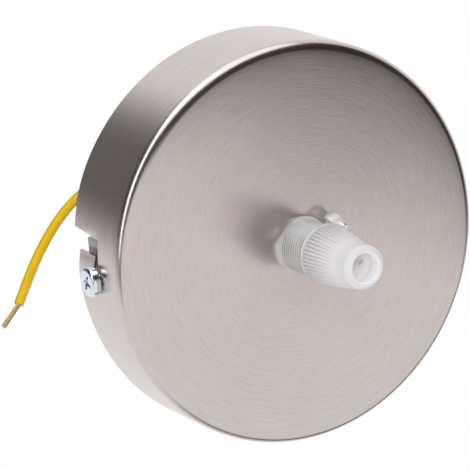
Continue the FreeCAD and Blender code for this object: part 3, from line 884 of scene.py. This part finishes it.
# The clamp screw's hole. Outside, the grid follows it as far as the blend from its centre, and
# in the bore as far as the bore blend from its edge, where columns face it.
CLAMP_TURN = math.radians(335.0)
CLAMP_HEIGHT = 3.6
CLAMP_HOLE_RADIUS = 2.01
CLAMP_HOLE_ANGLE = math.asin(CLAMP_HOLE_RADIUS / COLLAR_RADIUS)
CLAMP_BLEND = 3.2
CLAMP_BORE_BLEND = 2.6
CLAMP_SIDE_COSINE = 0.3
BORE_SIDE_SINE = 0.98

CAP_START = FACE_Z - cap_high[2]
CAP_END = FACE_Z - cap_low[2]
CAP_BROW = 28.4
CAP_START_CHAMFER = 0.12
CAP_TIP_RADIUS = 4.0
# Heights and radii of the cap's outside and inside
CAP_KNOTS = ((12.0, 14.5, 21.0, 25.0, 28.4), (7.5, 7.4, 6.5, 6.1, 5.5))
CAP_INSIDE = ((12.0, 15.4, 17.5, 24.5, 27.0, 29.6, 30.0), (6.7, 6.7, 5.6, 4.55, 3.6, 3.6, 3.9))
CAP_THREAD_END = 15.2
CAP_THREAD_FADE = 0.4
CAP_THREAD_DEPTH = 0.22
# Ribs, with the number of columns on each
RIB_COUNT = 46
RIB_COLUMNS = 10
RIB_DEPTH = 0.5
RIB_SHARPNESS = 1.2
RIB_START = 12.6
RIB_FULL = 13.3
RIB_END = 23.8
RIB_FADE_POWER = 0.4
# The ring groove at the ribs' start: height, half width and share of the ribs' depth
RING_GROOVE = (12.8, 0.16, 0.45)
# Painted shade on the tip past the ribs: how far it is marked as groove, which darkens it
TIP_SHADE = 0.32


def ring_points(radius, height, azimuth):
    """Points below the face at radius, height and azimuth, as one array."""
    radius, height, azimuth = np.broadcast_arrays(radius, height, azimuth)
    z = FACE_Z - height
    return np.stack([radius * np.cos(azimuth), radius * np.sin(azimuth), z], -1)


def grip_piece(name, outer, inner, keep, body, material, replaced, shade):
    """A solid between two surfaces of the grip, with the outer one marked for painted groove
    shade.
    """
    points = np.concatenate([outer.reshape(-1, 3), inner.reshape(-1, 3)])
    return piece_from(
        name,
        points,
        shell_quads(keep)[:, ::-1],
        body,
        "clear_plastic",
        material,
        replaced,
        marks={"groove": np.concatenate([shade, np.zeros_like(shade)])},
    )


def make_grip_cap():
    """The conical cap: ribs outside, a quarter ellipse to the tip, and cones and a thread inside.

    The ribs are r = curve(h) - depth x fade(h) x (1 - |sin(n a / 2)|)^sharpness. They fade with
    the height, behind a ring groove.
    """
    tip_turn = np.linspace(0.0, math.pi / 2, 12)[1:]
    brow = spaced((CAP_START, RIB_FULL, 9), (RIB_FULL, RIB_END, 24), (RIB_END, CAP_BROW, 8))
    height = np.concatenate([brow, CAP_BROW + (CAP_END - CAP_BROW) * np.sin(tip_turn)])
    brow_radius = through(CAP_KNOTS, brow)
    tip_radius = CAP_TIP_RADIUS + (CAP_KNOTS[1][-1] - CAP_TIP_RADIUS) * np.cos(tip_turn)
    radius = np.concatenate([brow_radius, tip_radius])[:, None]
    radius[0] -= CAP_START_CHAMFER
    azimuth = np.linspace(0.0, TURN, RIB_COUNT * RIB_COLUMNS, endpoint=False)
    row = height[:, None]
    fade = smooth_step((row - RIB_START) / (RIB_FULL - RIB_START))
    fade = fade * np.clip((RIB_END - row) / (RIB_END - RIB_FULL), 0.0, 1.0) ** RIB_FADE_POWER
    groove = fade * (1.0 - np.abs(np.sin(RIB_COUNT * azimuth / 2))) ** RIB_SHARPNESS
    middle, half_width, share = RING_GROOVE
    groove = np.maximum(groove, share * np.exp(-(((row - middle) / half_width) ** 2)))
    outer = ring_points(radius - RIB_DEPTH * groove, row, azimuth)
    # Painted shade: darker in the rib grooves and towards the tip
    tip_shade = TIP_SHADE * smooth_step((row - RIB_END) / (CAP_BROW - RIB_END))
    shade = np.maximum(groove**GROOVE_SHADE_POWER, tip_shade)
    inside = np.interp(height, *CAP_INSIDE)[:, None]
    threaded = smooth_step((CAP_THREAD_END - row) / CAP_THREAD_FADE)
    turns = row / THREAD_PITCH + azimuth / TURN
    inner_radius = inside + CAP_THREAD_DEPTH * threaded * thread_wave(turns)
    inner = ring_points(inner_radius, row, azimuth)
    keep = np.ones((len(height) - 1, azimuth.size), bool)
    frosted = plastic["plastic_frosted"]
    piece = grip_piece(
        "grip_cap_ribbed", outer, inner, keep, "grip_cap", frosted, "grip_cap", shade
    )
    finish_edges(piece, 0.0, 50.0)


def body_rows():
    """Rows of height, radius and share of thread down the outside of the grip body."""
    stem = spaced((BODY_TOP + STEM_CHAMFER, -STEM_PLAIN, 58))
    hole_top = CLAMP_HEIGHT - CLAMP_HOLE_RADIUS
    hole_bottom = CLAMP_HEIGHT + CLAMP_HOLE_RADIUS
    collar = spaced((hole_top, hole_bottom, 28), (hole_bottom, COLLAR_END - COLLAR_CHAMFER, 46))
    finger = spaced((COLLAR_END, FINGER_SLOT_START, 2), (FINGER_SLOT_START, BODY_END, 10))
    finger_share = (finger - COLLAR_END) / (BODY_END - COLLAR_END)
    finger_radius = FINGER_ROOT_RADIUS + (FINGER_TIP_RADIUS - FINGER_ROOT_RADIUS) * finger_share
    runs = [
        ([BODY_TOP], STEM_RADIUS - STEM_CHAMFER, 0.0),
        (stem, STEM_RADIUS, 1.0),
        ([0.0], STEM_RADIUS, 0.0),
        ([0.0, FLANGE_HEIGHT], FLANGE_RADIUS, 0.0),
        ([FLANGE_HEIGHT], COLLAR_RADIUS - COLLAR_UNDERCUT, 0.0),
        (collar, COLLAR_RADIUS, 1.0),
        ([COLLAR_END], COLLAR_RADIUS - COLLAR_CHAMFER, 0.0),
        (finger, finger_radius, 0.0),
    ]
    rows = [np.stack(np.broadcast_arrays(*run), -1) for run in runs]
    return np.concatenate(rows).T


def body_turns():
    """Columns as angles from the clamp hole, some of them on the edges of hole and slots."""
    edges = [CLAMP_HOLE_ANGLE, TURN - CLAMP_HOLE_ANGLE]
    for number in range(FINGERS):
        middle = (number * TURN / FINGERS - CLAMP_TURN) % TURN
        edges += [middle - FINGER_SLOT_ANGLE, middle + FINGER_SLOT_ANGLE]
    edges = np.sort(edges)
    turn = np.linspace(0.0, TURN, BODY_COLUMNS, endpoint=False)
    nearest = np.abs(turn[:, None] - edges).argmin(axis=0)
    turn[nearest] = edges
    return np.sort(turn)


def body_cells(height, turn):
    """The mask of kept cells: all but those in the clamp hole and the fingers' slots."""
    middle_turn = (turn + np.roll(turn, -1)) / 2
    middle_turn[-1] = (turn[-1] + TURN) / 2
    middle_row = (height[:-1] + height[1:])[:, None] / 2
    from_clamp = np.abs((middle_turn + math.pi) % TURN - math.pi)
    in_hole_rows = np.abs(middle_row - CLAMP_HEIGHT) < CLAMP_HOLE_RADIUS
    half_finger = TURN / FINGERS / 2
    from_slot = np.abs((middle_turn + CLAMP_TURN + half_finger) % (TURN / FINGERS) - half_finger)
    in_hole = in_hole_rows & (from_clamp < CLAMP_HOLE_ANGLE)
    in_slot = (middle_row > FINGER_SLOT_START) & (from_slot < FINGER_SLOT_ANGLE)
    return ~in_hole & ~in_slot


def rounded_opening(u, v, radius, reach):
    """Moves square shells |u|, |v| = c onto circles of radius c.

    This holds for c up to the opening's radius, and less and less beyond it up to the reach.
    """
    shell = np.maximum(np.abs(u), np.abs(v))
    distance = np.hypot(u, v)
    ratio = np.where(distance > 1e-9, shell / np.maximum(distance, 1e-9), 1.0)
    hold = 1.0 - smooth_step((shell - radius) / (reach - radius))
    scale = 1.0 + (ratio - 1.0) * hold
    return u * scale, v * scale


def make_grip_body():
    """Clear grip body with flats on the flange, a hole for the clamp screw and slit fingers.

    Its threads are r - depth x wave(h / pitch + a / turn).
    """
    rows = body_rows()
    height, radius, thread = rows[:, :, None]
    turn = body_turns()
    u, v = np.broadcast_arrays(COLLAR_RADIUS * np.sin(turn), height - CLAMP_HEIGHT)
    facing = np.cos(turn) > CLAMP_SIDE_COSINE
    moved_u, moved_v = rounded_opening(u, v, CLAMP_HOLE_RADIUS, CLAMP_BLEND)
    moved_u = np.where(facing, moved_u, u)
    on_collar = facing & (thread > 0.5) & (height > FLANGE_HEIGHT)
    row = np.where(on_collar, moved_v, v) + CLAMP_HEIGHT
    near = np.arcsin(np.clip(moved_u / COLLAR_RADIUS, -1.0, 1.0))
    azimuth = np.where(facing & (row > 0.0), near % TURN, turn) + CLAMP_TURN
    across_flat = np.abs(np.cos(azimuth - math.radians(FLANGE_FLAT_AZIMUTH)))
    flange = np.minimum(FLANGE_RADIUS, FLANGE_FLAT / np.maximum(across_flat, 0.1))
    base = np.where(radius == FLANGE_RADIUS, flange, radius)
    groove = thread * thread_wave(row / THREAD_PITCH + azimuth / TURN)
    outer = ring_points(base - BODY_THREAD_DEPTH * groove, row, azimuth)
    near_bore = np.arcsin(np.clip(moved_u / BORE_RADIUS, -BORE_SIDE_SINE, BORE_SIDE_SINE))
    signed_turn = (turn + math.pi) % TURN - math.pi
    share = 1.0 - smooth_step((np.abs(u) - CLAMP_HOLE_RADIUS) / CLAMP_BORE_BLEND)
    inner_turn = np.where(facing, turn + (near_bore - signed_turn) * share, turn)
    inner = ring_points(BORE_RADIUS, row, inner_turn + CLAMP_TURN)
    # Painted shade in the thread roots
    shade = groove**GROOVE_SHADE_POWER
    keep = body_cells(rows[0], turn)
    clear = plastic["plastic_clear"]
    piece = grip_piece(
        "grip_body_threaded", outer, inner, keep, "canopy", clear, "grip_body", shade
    )
    piece.data.materials.append(plastic["plastic_frosted"])
    fingers_below = (FACE_Z - FINGER_SLOT_START) * METRES
    for face in piece.data.polygons:
        face.material_index = int(face.center.z < fingers_below)
    finish_edges(piece, 0.0, 40.0)


make_grip_cap()
make_grip_body()


# Screws with a cross recess, with heights in millimetres above the head's seat

SCREW_RADIUS = 1.97
SCREW_HEAD_RADIUS = 3.75
SCREW_HEAD_HEIGHT = 2.1
SCREW_CROWN = 1.0
SCREW_CROWN_RINGS = 7
SCREW_FILLET = 0.15
# The plain run at both ends of the thread, and the chamfer of the shank's end
SCREW_POINT = 0.5
SCREW_PITCH = 0.7
SCREW_THREAD_STEPS = 8
SCREW_THREAD_DEPTH = 0.26
POLE_RADIUS = 0.001
RECESS_REACH = 1.95
RECESS_HALF_WIDTH = 0.4
RECESS_CORNER = 0.5657
RECESS_FLOOR = 0.75
RECESS_DEPTH = 1.2
RECESS_WALL = 0.05
FIELD_COLUMNS = 13

SIDE_SCREW_LENGTH = 8.0
SIDE_SCREW_Z = -10.5
SIDE_SCREW_SEAT = -side_screw_low[0] - SCREW_HEAD_HEIGHT
# Direction of each side screw's head along X, and how far its recess is turned in degrees
SIDE_SCREWS = {"left": (-1, 25.0), "right": (1, 50.0)}
EARTH_SCREW_LENGTH = 2.7
EARTH_SCREW_SEAT = (13.5, 0.0, earth_screw_low[2] + SCREW_HEAD_HEIGHT)
EARTH_SCREW_TURN = 12.0


def screw_surface(length):
    """A pan-head screw as one closed grid, head seat at z 0 and shank to -Z.

    Four arms of the recess: column angles follow asin(half width / radius) inside an arm, and
    the floor rises along it from its depth to the head's top. The shank carries a V thread.
    """
    crown = np.linspace(0.0, math.pi / 2, SCREW_CROWN_RINGS + 1)[1:]
    flat_radius = SCREW_HEAD_RADIUS - SCREW_CROWN
    recess = [POLE_RADIUS, 0.3, RECESS_CORNER, 0.8, 1.1, 1.4, 1.7, RECESS_REACH]
    top = np.array(recess + [2.1, 2.4, flat_radius])
    step = -SCREW_PITCH / SCREW_THREAD_STEPS
    thread_z = np.arange(-SCREW_POINT, -length + SCREW_POINT, step)
    fillet = SCREW_FILLET
    radius = np.concatenate(
        [
            top,
            flat_radius + SCREW_CROWN * np.sin(crown),
            [SCREW_HEAD_RADIUS, SCREW_HEAD_RADIUS - fillet, SCREW_RADIUS + fillet, SCREW_RADIUS],
            np.full(len(thread_z), SCREW_RADIUS),
            [SCREW_RADIUS - SCREW_POINT, POLE_RADIUS],
        ]
    )
    z = np.concatenate(
        [
            np.full(len(top), SCREW_HEAD_HEIGHT),
            SCREW_HEAD_HEIGHT - SCREW_CROWN * (1.0 - np.cos(crown)),
            [fillet, 0.0, 0.0, -fillet],
            thread_z,
            [-length, -length],
        ]
    )
    threaded = np.zeros(len(z))
    threaded[-2 - len(thread_z) : -2] = 1.0
    half = np.arcsin(np.minimum(RECESS_HALF_WIDTH / radius, math.sin(math.pi / 4)))
    gap = np.minimum(RECESS_WALL / radius, math.pi / 4 - half)
    arm = np.array([-1.0, -0.5, 0.0, 0.5, 1.0])
    field = np.linspace(0.0, 1.0, FIELD_COLUMNS)
    within = half[:, None] * arm
    first = (half + gap)[:, None]
    beyond = first + (math.pi / 2 - 2 * first) * field
    quarter = np.concatenate([within, beyond], axis=1)
    angle = np.concatenate([quarter + number * math.pi / 2 for number in range(4)], axis=1)
    slope = smooth_step((radius - RECESS_FLOOR) / (RECESS_REACH - RECESS_FLOOR))
    depth = np.where(radius <= RECESS_REACH, RECESS_DEPTH * (1.0 - slope), 0.0)[:, None]
    in_arm = np.concatenate([np.ones(len(arm)), np.zeros(len(field))] * 4)
    drop = np.where((radius <= RECESS_CORNER)[:, None], depth, depth * in_arm)
    turns = z[:, None] / SCREW_PITCH + angle / TURN
    groove = threaded[:, None] * thread_wave(turns)
    size = radius[:, None] - SCREW_THREAD_DEPTH * groove
    return np.stack([size * np.cos(angle), size * np.sin(angle), z[:, None] - drop], -1)


def make_screw(name, node, length, body, axis, seat, turn):
    """A screw whose head points along an axis from its seat."""
    grid = screw_surface(length)
    outward = np.array(axis, float)
    side = np.array([0.0, 1.0, 0.0])
    across = np.cross(side, outward)
    twist = math.radians(turn)
    first = side * math.cos(twist) + across * math.sin(twist)
    basis = np.stack([first, np.cross(outward, first), outward])
    points = grid.reshape(-1, 3) @ basis + np.array(seat)
    quads = grid_faces(*grid.shape[:2], True)[:, ::-1]
    piece = piece_from(name, points, quads, body, "zinc_screw", plated["zinc_bright"], node)
    finish_edges(piece, 0.0, 32.0)


for side_name, (direction, recess_turn) in SIDE_SCREWS.items():
    screw_body = "side_screw_" + side_name
    make_screw(
        "screw_" + side_name,
        screw_body,
        SIDE_SCREW_LENGTH,
        screw_body,
        (direction, 0, 0),
        (direction * SIDE_SCREW_SEAT, 0, SIDE_SCREW_Z),
        recess_turn,
    )
make_screw(
    "screw_earth",
    "earth_screw",
    EARTH_SCREW_LENGTH,
    "bracket",
    (0, 0, -1),
    EARTH_SCREW_SEAT,
    EARTH_SCREW_TURN,
)


# CAD nodes that keep their own shape, with their edges softened on a copy

# Material, slot, body, and width of the rounds in millimetres
NODE_FINISHES = {
    "mounting_bracket": (plated["zinc_strip"], "zinc_steel", "bracket", 0.12),
    "lock_washer": (plated["zinc_strip"], "zinc_steel", "canopy", 0.06),
    "lock_nut": (plated["zinc_strip"], "zinc_steel", "canopy", 0.1),
    "earth_washer": (plated["zinc_bright"], "zinc_screw", "bracket", 0.04),
    "ring_terminal": (plated["tin_plate"], "tinned_copper", "bracket", 0.08),
    "clamp_screw": (plastic["plastic_glassy"], "clear_plastic", "clamp_screw", 0.1),
}
NODE_SHARP_ANGLE = 30.0
FLAT_ANGLE = 0.5


def softened(node, material, slot, body, width):
    """A merged copy of a CAD node with small rounds along its sharp edges."""
    name = node + "_finished"
    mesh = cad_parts[node].data.copy()
    mesh.name = name
    mesh.materials.clear()
    mesh.materials.append(material)
    work = bmesh.new()
    work.from_mesh(mesh)
    bmesh.ops.remove_doubles(work, verts=work.verts, dist=2 * MERGE_DISTANCE)
    flat = math.radians(FLAT_ANGLE)
    bmesh.ops.dissolve_limit(work, angle_limit=flat, verts=work.verts, edges=work.edges)
    work.to_mesh(mesh)
    work.free()
    finish_edges(placed_piece(name, mesh, body, slot, node), width, NODE_SHARP_ANGLE)


for cad_node, finish in NODE_FINISHES.items():
    softened(cad_node, *finish)


# Studio

CAMERA_PLACE = (-0.5160, -0.3060, -0.9411)
CAMERA_RIGHT = (0.85761, 0.11023, -0.50234)
CAMERA_UP = (0.23168, -0.95486, 0.18599)
CAMERA_FORWARD = (0.45916, 0.27589, 0.84443)
CAMERA_LENS = 344.7
FLOOR_Z = -1.3
FLOOR_REACH = 8.0
KEY_LAMP_PLACE = (-0.25, -0.45, -0.75)
KEY_LAMP_TARGET = (0.0, 0.0, -0.02)
KEY_LAMP_SIZE = 0.30
KEY_LAMP_POWER = 3.0

# The light tent round the part, which only reflections see. Directions are from the cup's face.
TENT_RADIUS = 0.30
TENT_ROWS = 49
TENT_COLUMNS = 96
FACE_CENTRE = (0.0, 0.0, -0.025)
# A field is given by an axis, and by where it begins and is full along that axis
FRONT_LIGHT = ((-0.5, 0.865, 0.0), -0.28, 0.0)
FRONT_EDGE = ((0.0, 0.707, -0.707), 0.18, 0.32)
BACK_CLOTH = ((0.0, 0.0, 1.0), -0.10, 0.10)
GAP_GREY_FIELD = ((0.0, 0.0, 1.0), 0.5, 0.9)
GAP_GREY = 0.18
# A sector is given by its azimuth, and by the angles from it within which it is full and past
# which it ends, in degrees
GAP_SECTOR = (213.0, 8.0, 52.0)
SEAM_SECTOR = (66.0, 26.0, 62.0)
# The dark seam between front light and back cloth: height and half height in degrees, where
# its soft edge begins and ends as a squared share of those, and how dark it is
SEAM_HEIGHT = (1.0, 9.0)
SEAM_EDGE = (0.5, 1.4)
SEAM_SHADE = 0.95
# Lamps: azimuth, height, half width and half height in degrees, and strength
TOP_LAMP = (-94.0, -2.0, 39.0, 27.0, 1.7)
STRIP_LAMP = (-138.0, -4.0, 50.0, 6.5, 3.6)
LAMP_EDGE = (0.7, 1.15)
ROOM_COLOUR = (0.045, 0.034, 0.029)
WHITE = (1.0, 1.0, 1.0, 1.0)


def make_camera():
    """The camera at the photograph's angle, from its own right, up and forward directions."""
    camera_data = bpy.data.cameras.new("camera")
    camera_data.lens = CAMERA_LENS
    camera_data.sensor_width = 36.0
    camera_data.clip_start = 0.05
    camera_data.clip_end = 20.0
    camera = bpy.data.objects.new("camera", camera_data)
    back = [-value for value in CAMERA_FORWARD]
    turn = Matrix((CAMERA_RIGHT, CAMERA_UP, back)).transposed()
    camera.matrix_world = Matrix.Translation(CAMERA_PLACE) @ turn.to_4x4()
    bpy.context.scene.collection.objects.link(camera)
    bpy.context.scene.camera = camera


def make_world():
    """An even white studio."""
    world = bpy.data.worlds.new("studio")
    bpy.context.scene.world = world
    world.use_nodes = True
    background = world.node_tree.nodes["Background"]
    background.inputs["Color"].default_value = WHITE
    background.inputs["Strength"].default_value = 1.0


def tent_cloth():
    """The tent's glow, by the direction from the cup's face.

    The front light shows in the face, the back cloth in the wall, with one gap in it, and the
    lamps, ellipses in azimuth and height, in the edge. A dark seam lies between light and
    cloth. The rest is the dark room.
    """
    material = bpy.data.materials.new("tent_cloth")
    material.use_nodes = True
    nodes = material.node_tree.nodes
    add, link = node_links(material.node_tree)
    nodes.remove(nodes["Principled BSDF"])
    glow = add("ShaderNodeEmission")
    link(glow.outputs[0], nodes["Material Output"].inputs["Surface"])
    place = add("ShaderNodeTexCoord")
    offset = add("ShaderNodeVectorMath", operation="SUBTRACT")
    link(place.outputs["Object"], offset.inputs[0])
    offset.inputs[1].default_value = FACE_CENTRE
    direction = add("ShaderNodeVectorMath", operation="NORMALIZE")
    link(offset.outputs[0], direction.inputs[0])
    parts = add("ShaderNodeSeparateXYZ")
    link(direction.outputs[0], parts.inputs[0])

    def join(operation, *values):
        return joined(add, link, operation, *values)

    def without(value):
        return join("SUBTRACT", 1.0, value)

    def field(axis, start, full):
        """The share of a field, by the direction's part along its axis."""
        dot = add("ShaderNodeVectorMath", operation="DOT_PRODUCT")
        link(direction.outputs[0], dot.inputs[0])
        dot.inputs[1].default_value = axis
        return stepped(add, link, dot.outputs["Value"], start, full)

    heading = join("ARCTAN2", parts.outputs["Y"], parts.outputs["X"])
    height = join("ARCSINE", parts.outputs["Z"])

    def sector(azimuth, full, outer):
        """1 within an angle of an azimuth, and 0 beyond the outer angle."""
        turned = join("COSINE", join("SUBTRACT", heading, math.radians(azimuth)))
        edges = math.cos(math.radians(outer)), math.cos(math.radians(full))
        return stepped(add, link, turned, *edges)

    def off_centre(value, centre, reach):
        """How far a value is from a centre, as a share of the reach, squared."""
        share = join("DIVIDE", join("SUBTRACT", value, math.radians(centre)), math.radians(reach))
        return join("MULTIPLY", share, share)

    def oval_lamp(azimuth, centre_height, half_width, half_height, strength):
        """A lamp that is an ellipse in azimuth and height, with a soft edge."""
        aside = off_centre(heading, azimuth, half_width)
        apart = off_centre(height, centre_height, half_height)
        outside = stepped(add, link, join("ADD", aside, apart), *LAMP_EDGE)
        return join("MULTIPLY", without(outside), strength)

    front = join("MULTIPLY", field(*FRONT_LIGHT), field(*FRONT_EDGE))
    gap = sector(*GAP_SECTOR)
    gap_glow = join("MULTIPLY", field(*GAP_GREY_FIELD), GAP_GREY)
    around_gap = join("ADD", without(gap), join("MULTIPLY", gap, gap_glow))
    back = join("MULTIPLY", field(*BACK_CLOTH), around_gap)
    from_seam = stepped(add, link, off_centre(height, *SEAM_HEIGHT), *SEAM_EDGE)
    seam = join("MULTIPLY", sector(*SEAM_SECTOR), without(from_seam))
    beside_seam = without(join("MULTIPLY", seam, SEAM_SHADE))
    cloth = join("MULTIPLY", join("MAXIMUM", front, back), beside_seam)
    lamps = join("MAXIMUM", oval_lamp(*TOP_LAMP), oval_lamp(*STRIP_LAMP))
    light = join("MAXIMUM", cloth, lamps)
    tone = add("ShaderNodeMix", data_type="RGBA")
    link(light, tone.inputs["Factor"])
    tone.inputs["A"].default_value = (*ROOM_COLOUR, 1.0)
    tone.inputs["B"].default_value = WHITE
    link(tone.outputs["Result"], glow.inputs["Color"])
    link(join("MAXIMUM", light, 1.0), glow.inputs["Strength"])
    return material


def make_tent():
    """The tent: a glowing sphere round the part, which only reflections see."""
    turn = np.linspace(0.0, math.pi, TENT_ROWS)[:, None]
    azimuth = np.linspace(0.0, TURN, TENT_COLUMNS, endpoint=False)
    x = np.sin(turn) * np.cos(azimuth)
    y = np.sin(turn) * np.sin(azimuth)
    ball = np.stack(np.broadcast_arrays(x, y, np.cos(turn)), -1)
    points = ball.reshape(-1, 3) * TENT_RADIUS + np.array(FACE_CENTRE)
    quads = grid_faces(TENT_ROWS, TENT_COLUMNS, True)
    mesh = bpy.data.meshes.new("light_tent")
    mesh.from_pydata(points.tolist(), [], quads.tolist())
    mesh.materials.append(tent_cloth())
    tent = bpy.data.objects.new("light_tent", mesh)
    bpy.context.scene.collection.objects.link(tent)
    tent.visible_camera = False
    tent.visible_diffuse = False
    tent.visible_transmission = False
    tent.visible_shadow = False


def make_floor():
    """A pale floor far below the hanging part."""
    mesh = bpy.data.meshes.new("floor")
    corners = [(-1, -1), (1, -1), (1, 1), (-1, 1)]
    points = [(x * FLOOR_REACH, y * FLOOR_REACH, FLOOR_Z) for x, y in corners]
    mesh.from_pydata(points, [], [(0, 1, 2, 3)])
    floor = bpy.data.objects.new("floor", mesh)
    bpy.context.scene.collection.objects.link(floor)
    material, shader, _, _ = new_material("floor_paint")
    shader.inputs["Base Color"].default_value = (0.99, 0.99, 0.99, 1.0)
    shader.inputs["Roughness"].default_value = 1.0
    mesh.materials.append(material)
    floor.visible_glossy = False


def make_key_lamp():
    """A square area lamp that faces the cup, seen by no reflection."""
    lamp = bpy.data.lights.new("key_lamp", "AREA")
    lamp.energy = KEY_LAMP_POWER
    lamp.size = KEY_LAMP_SIZE
    holder = bpy.data.objects.new("key_lamp", lamp)
    holder.location = KEY_LAMP_PLACE
    aim = Vector(KEY_LAMP_TARGET) - Vector(KEY_LAMP_PLACE)
    holder.rotation_euler = aim.to_track_quat("-Z", "Y").to_euler()
    holder.visible_glossy = False
    bpy.context.scene.collection.objects.link(holder)


make_camera()
make_world()
make_tent()
make_floor()
make_key_lamp()
bpy.context.scene.view_settings.view_transform = "Standard"
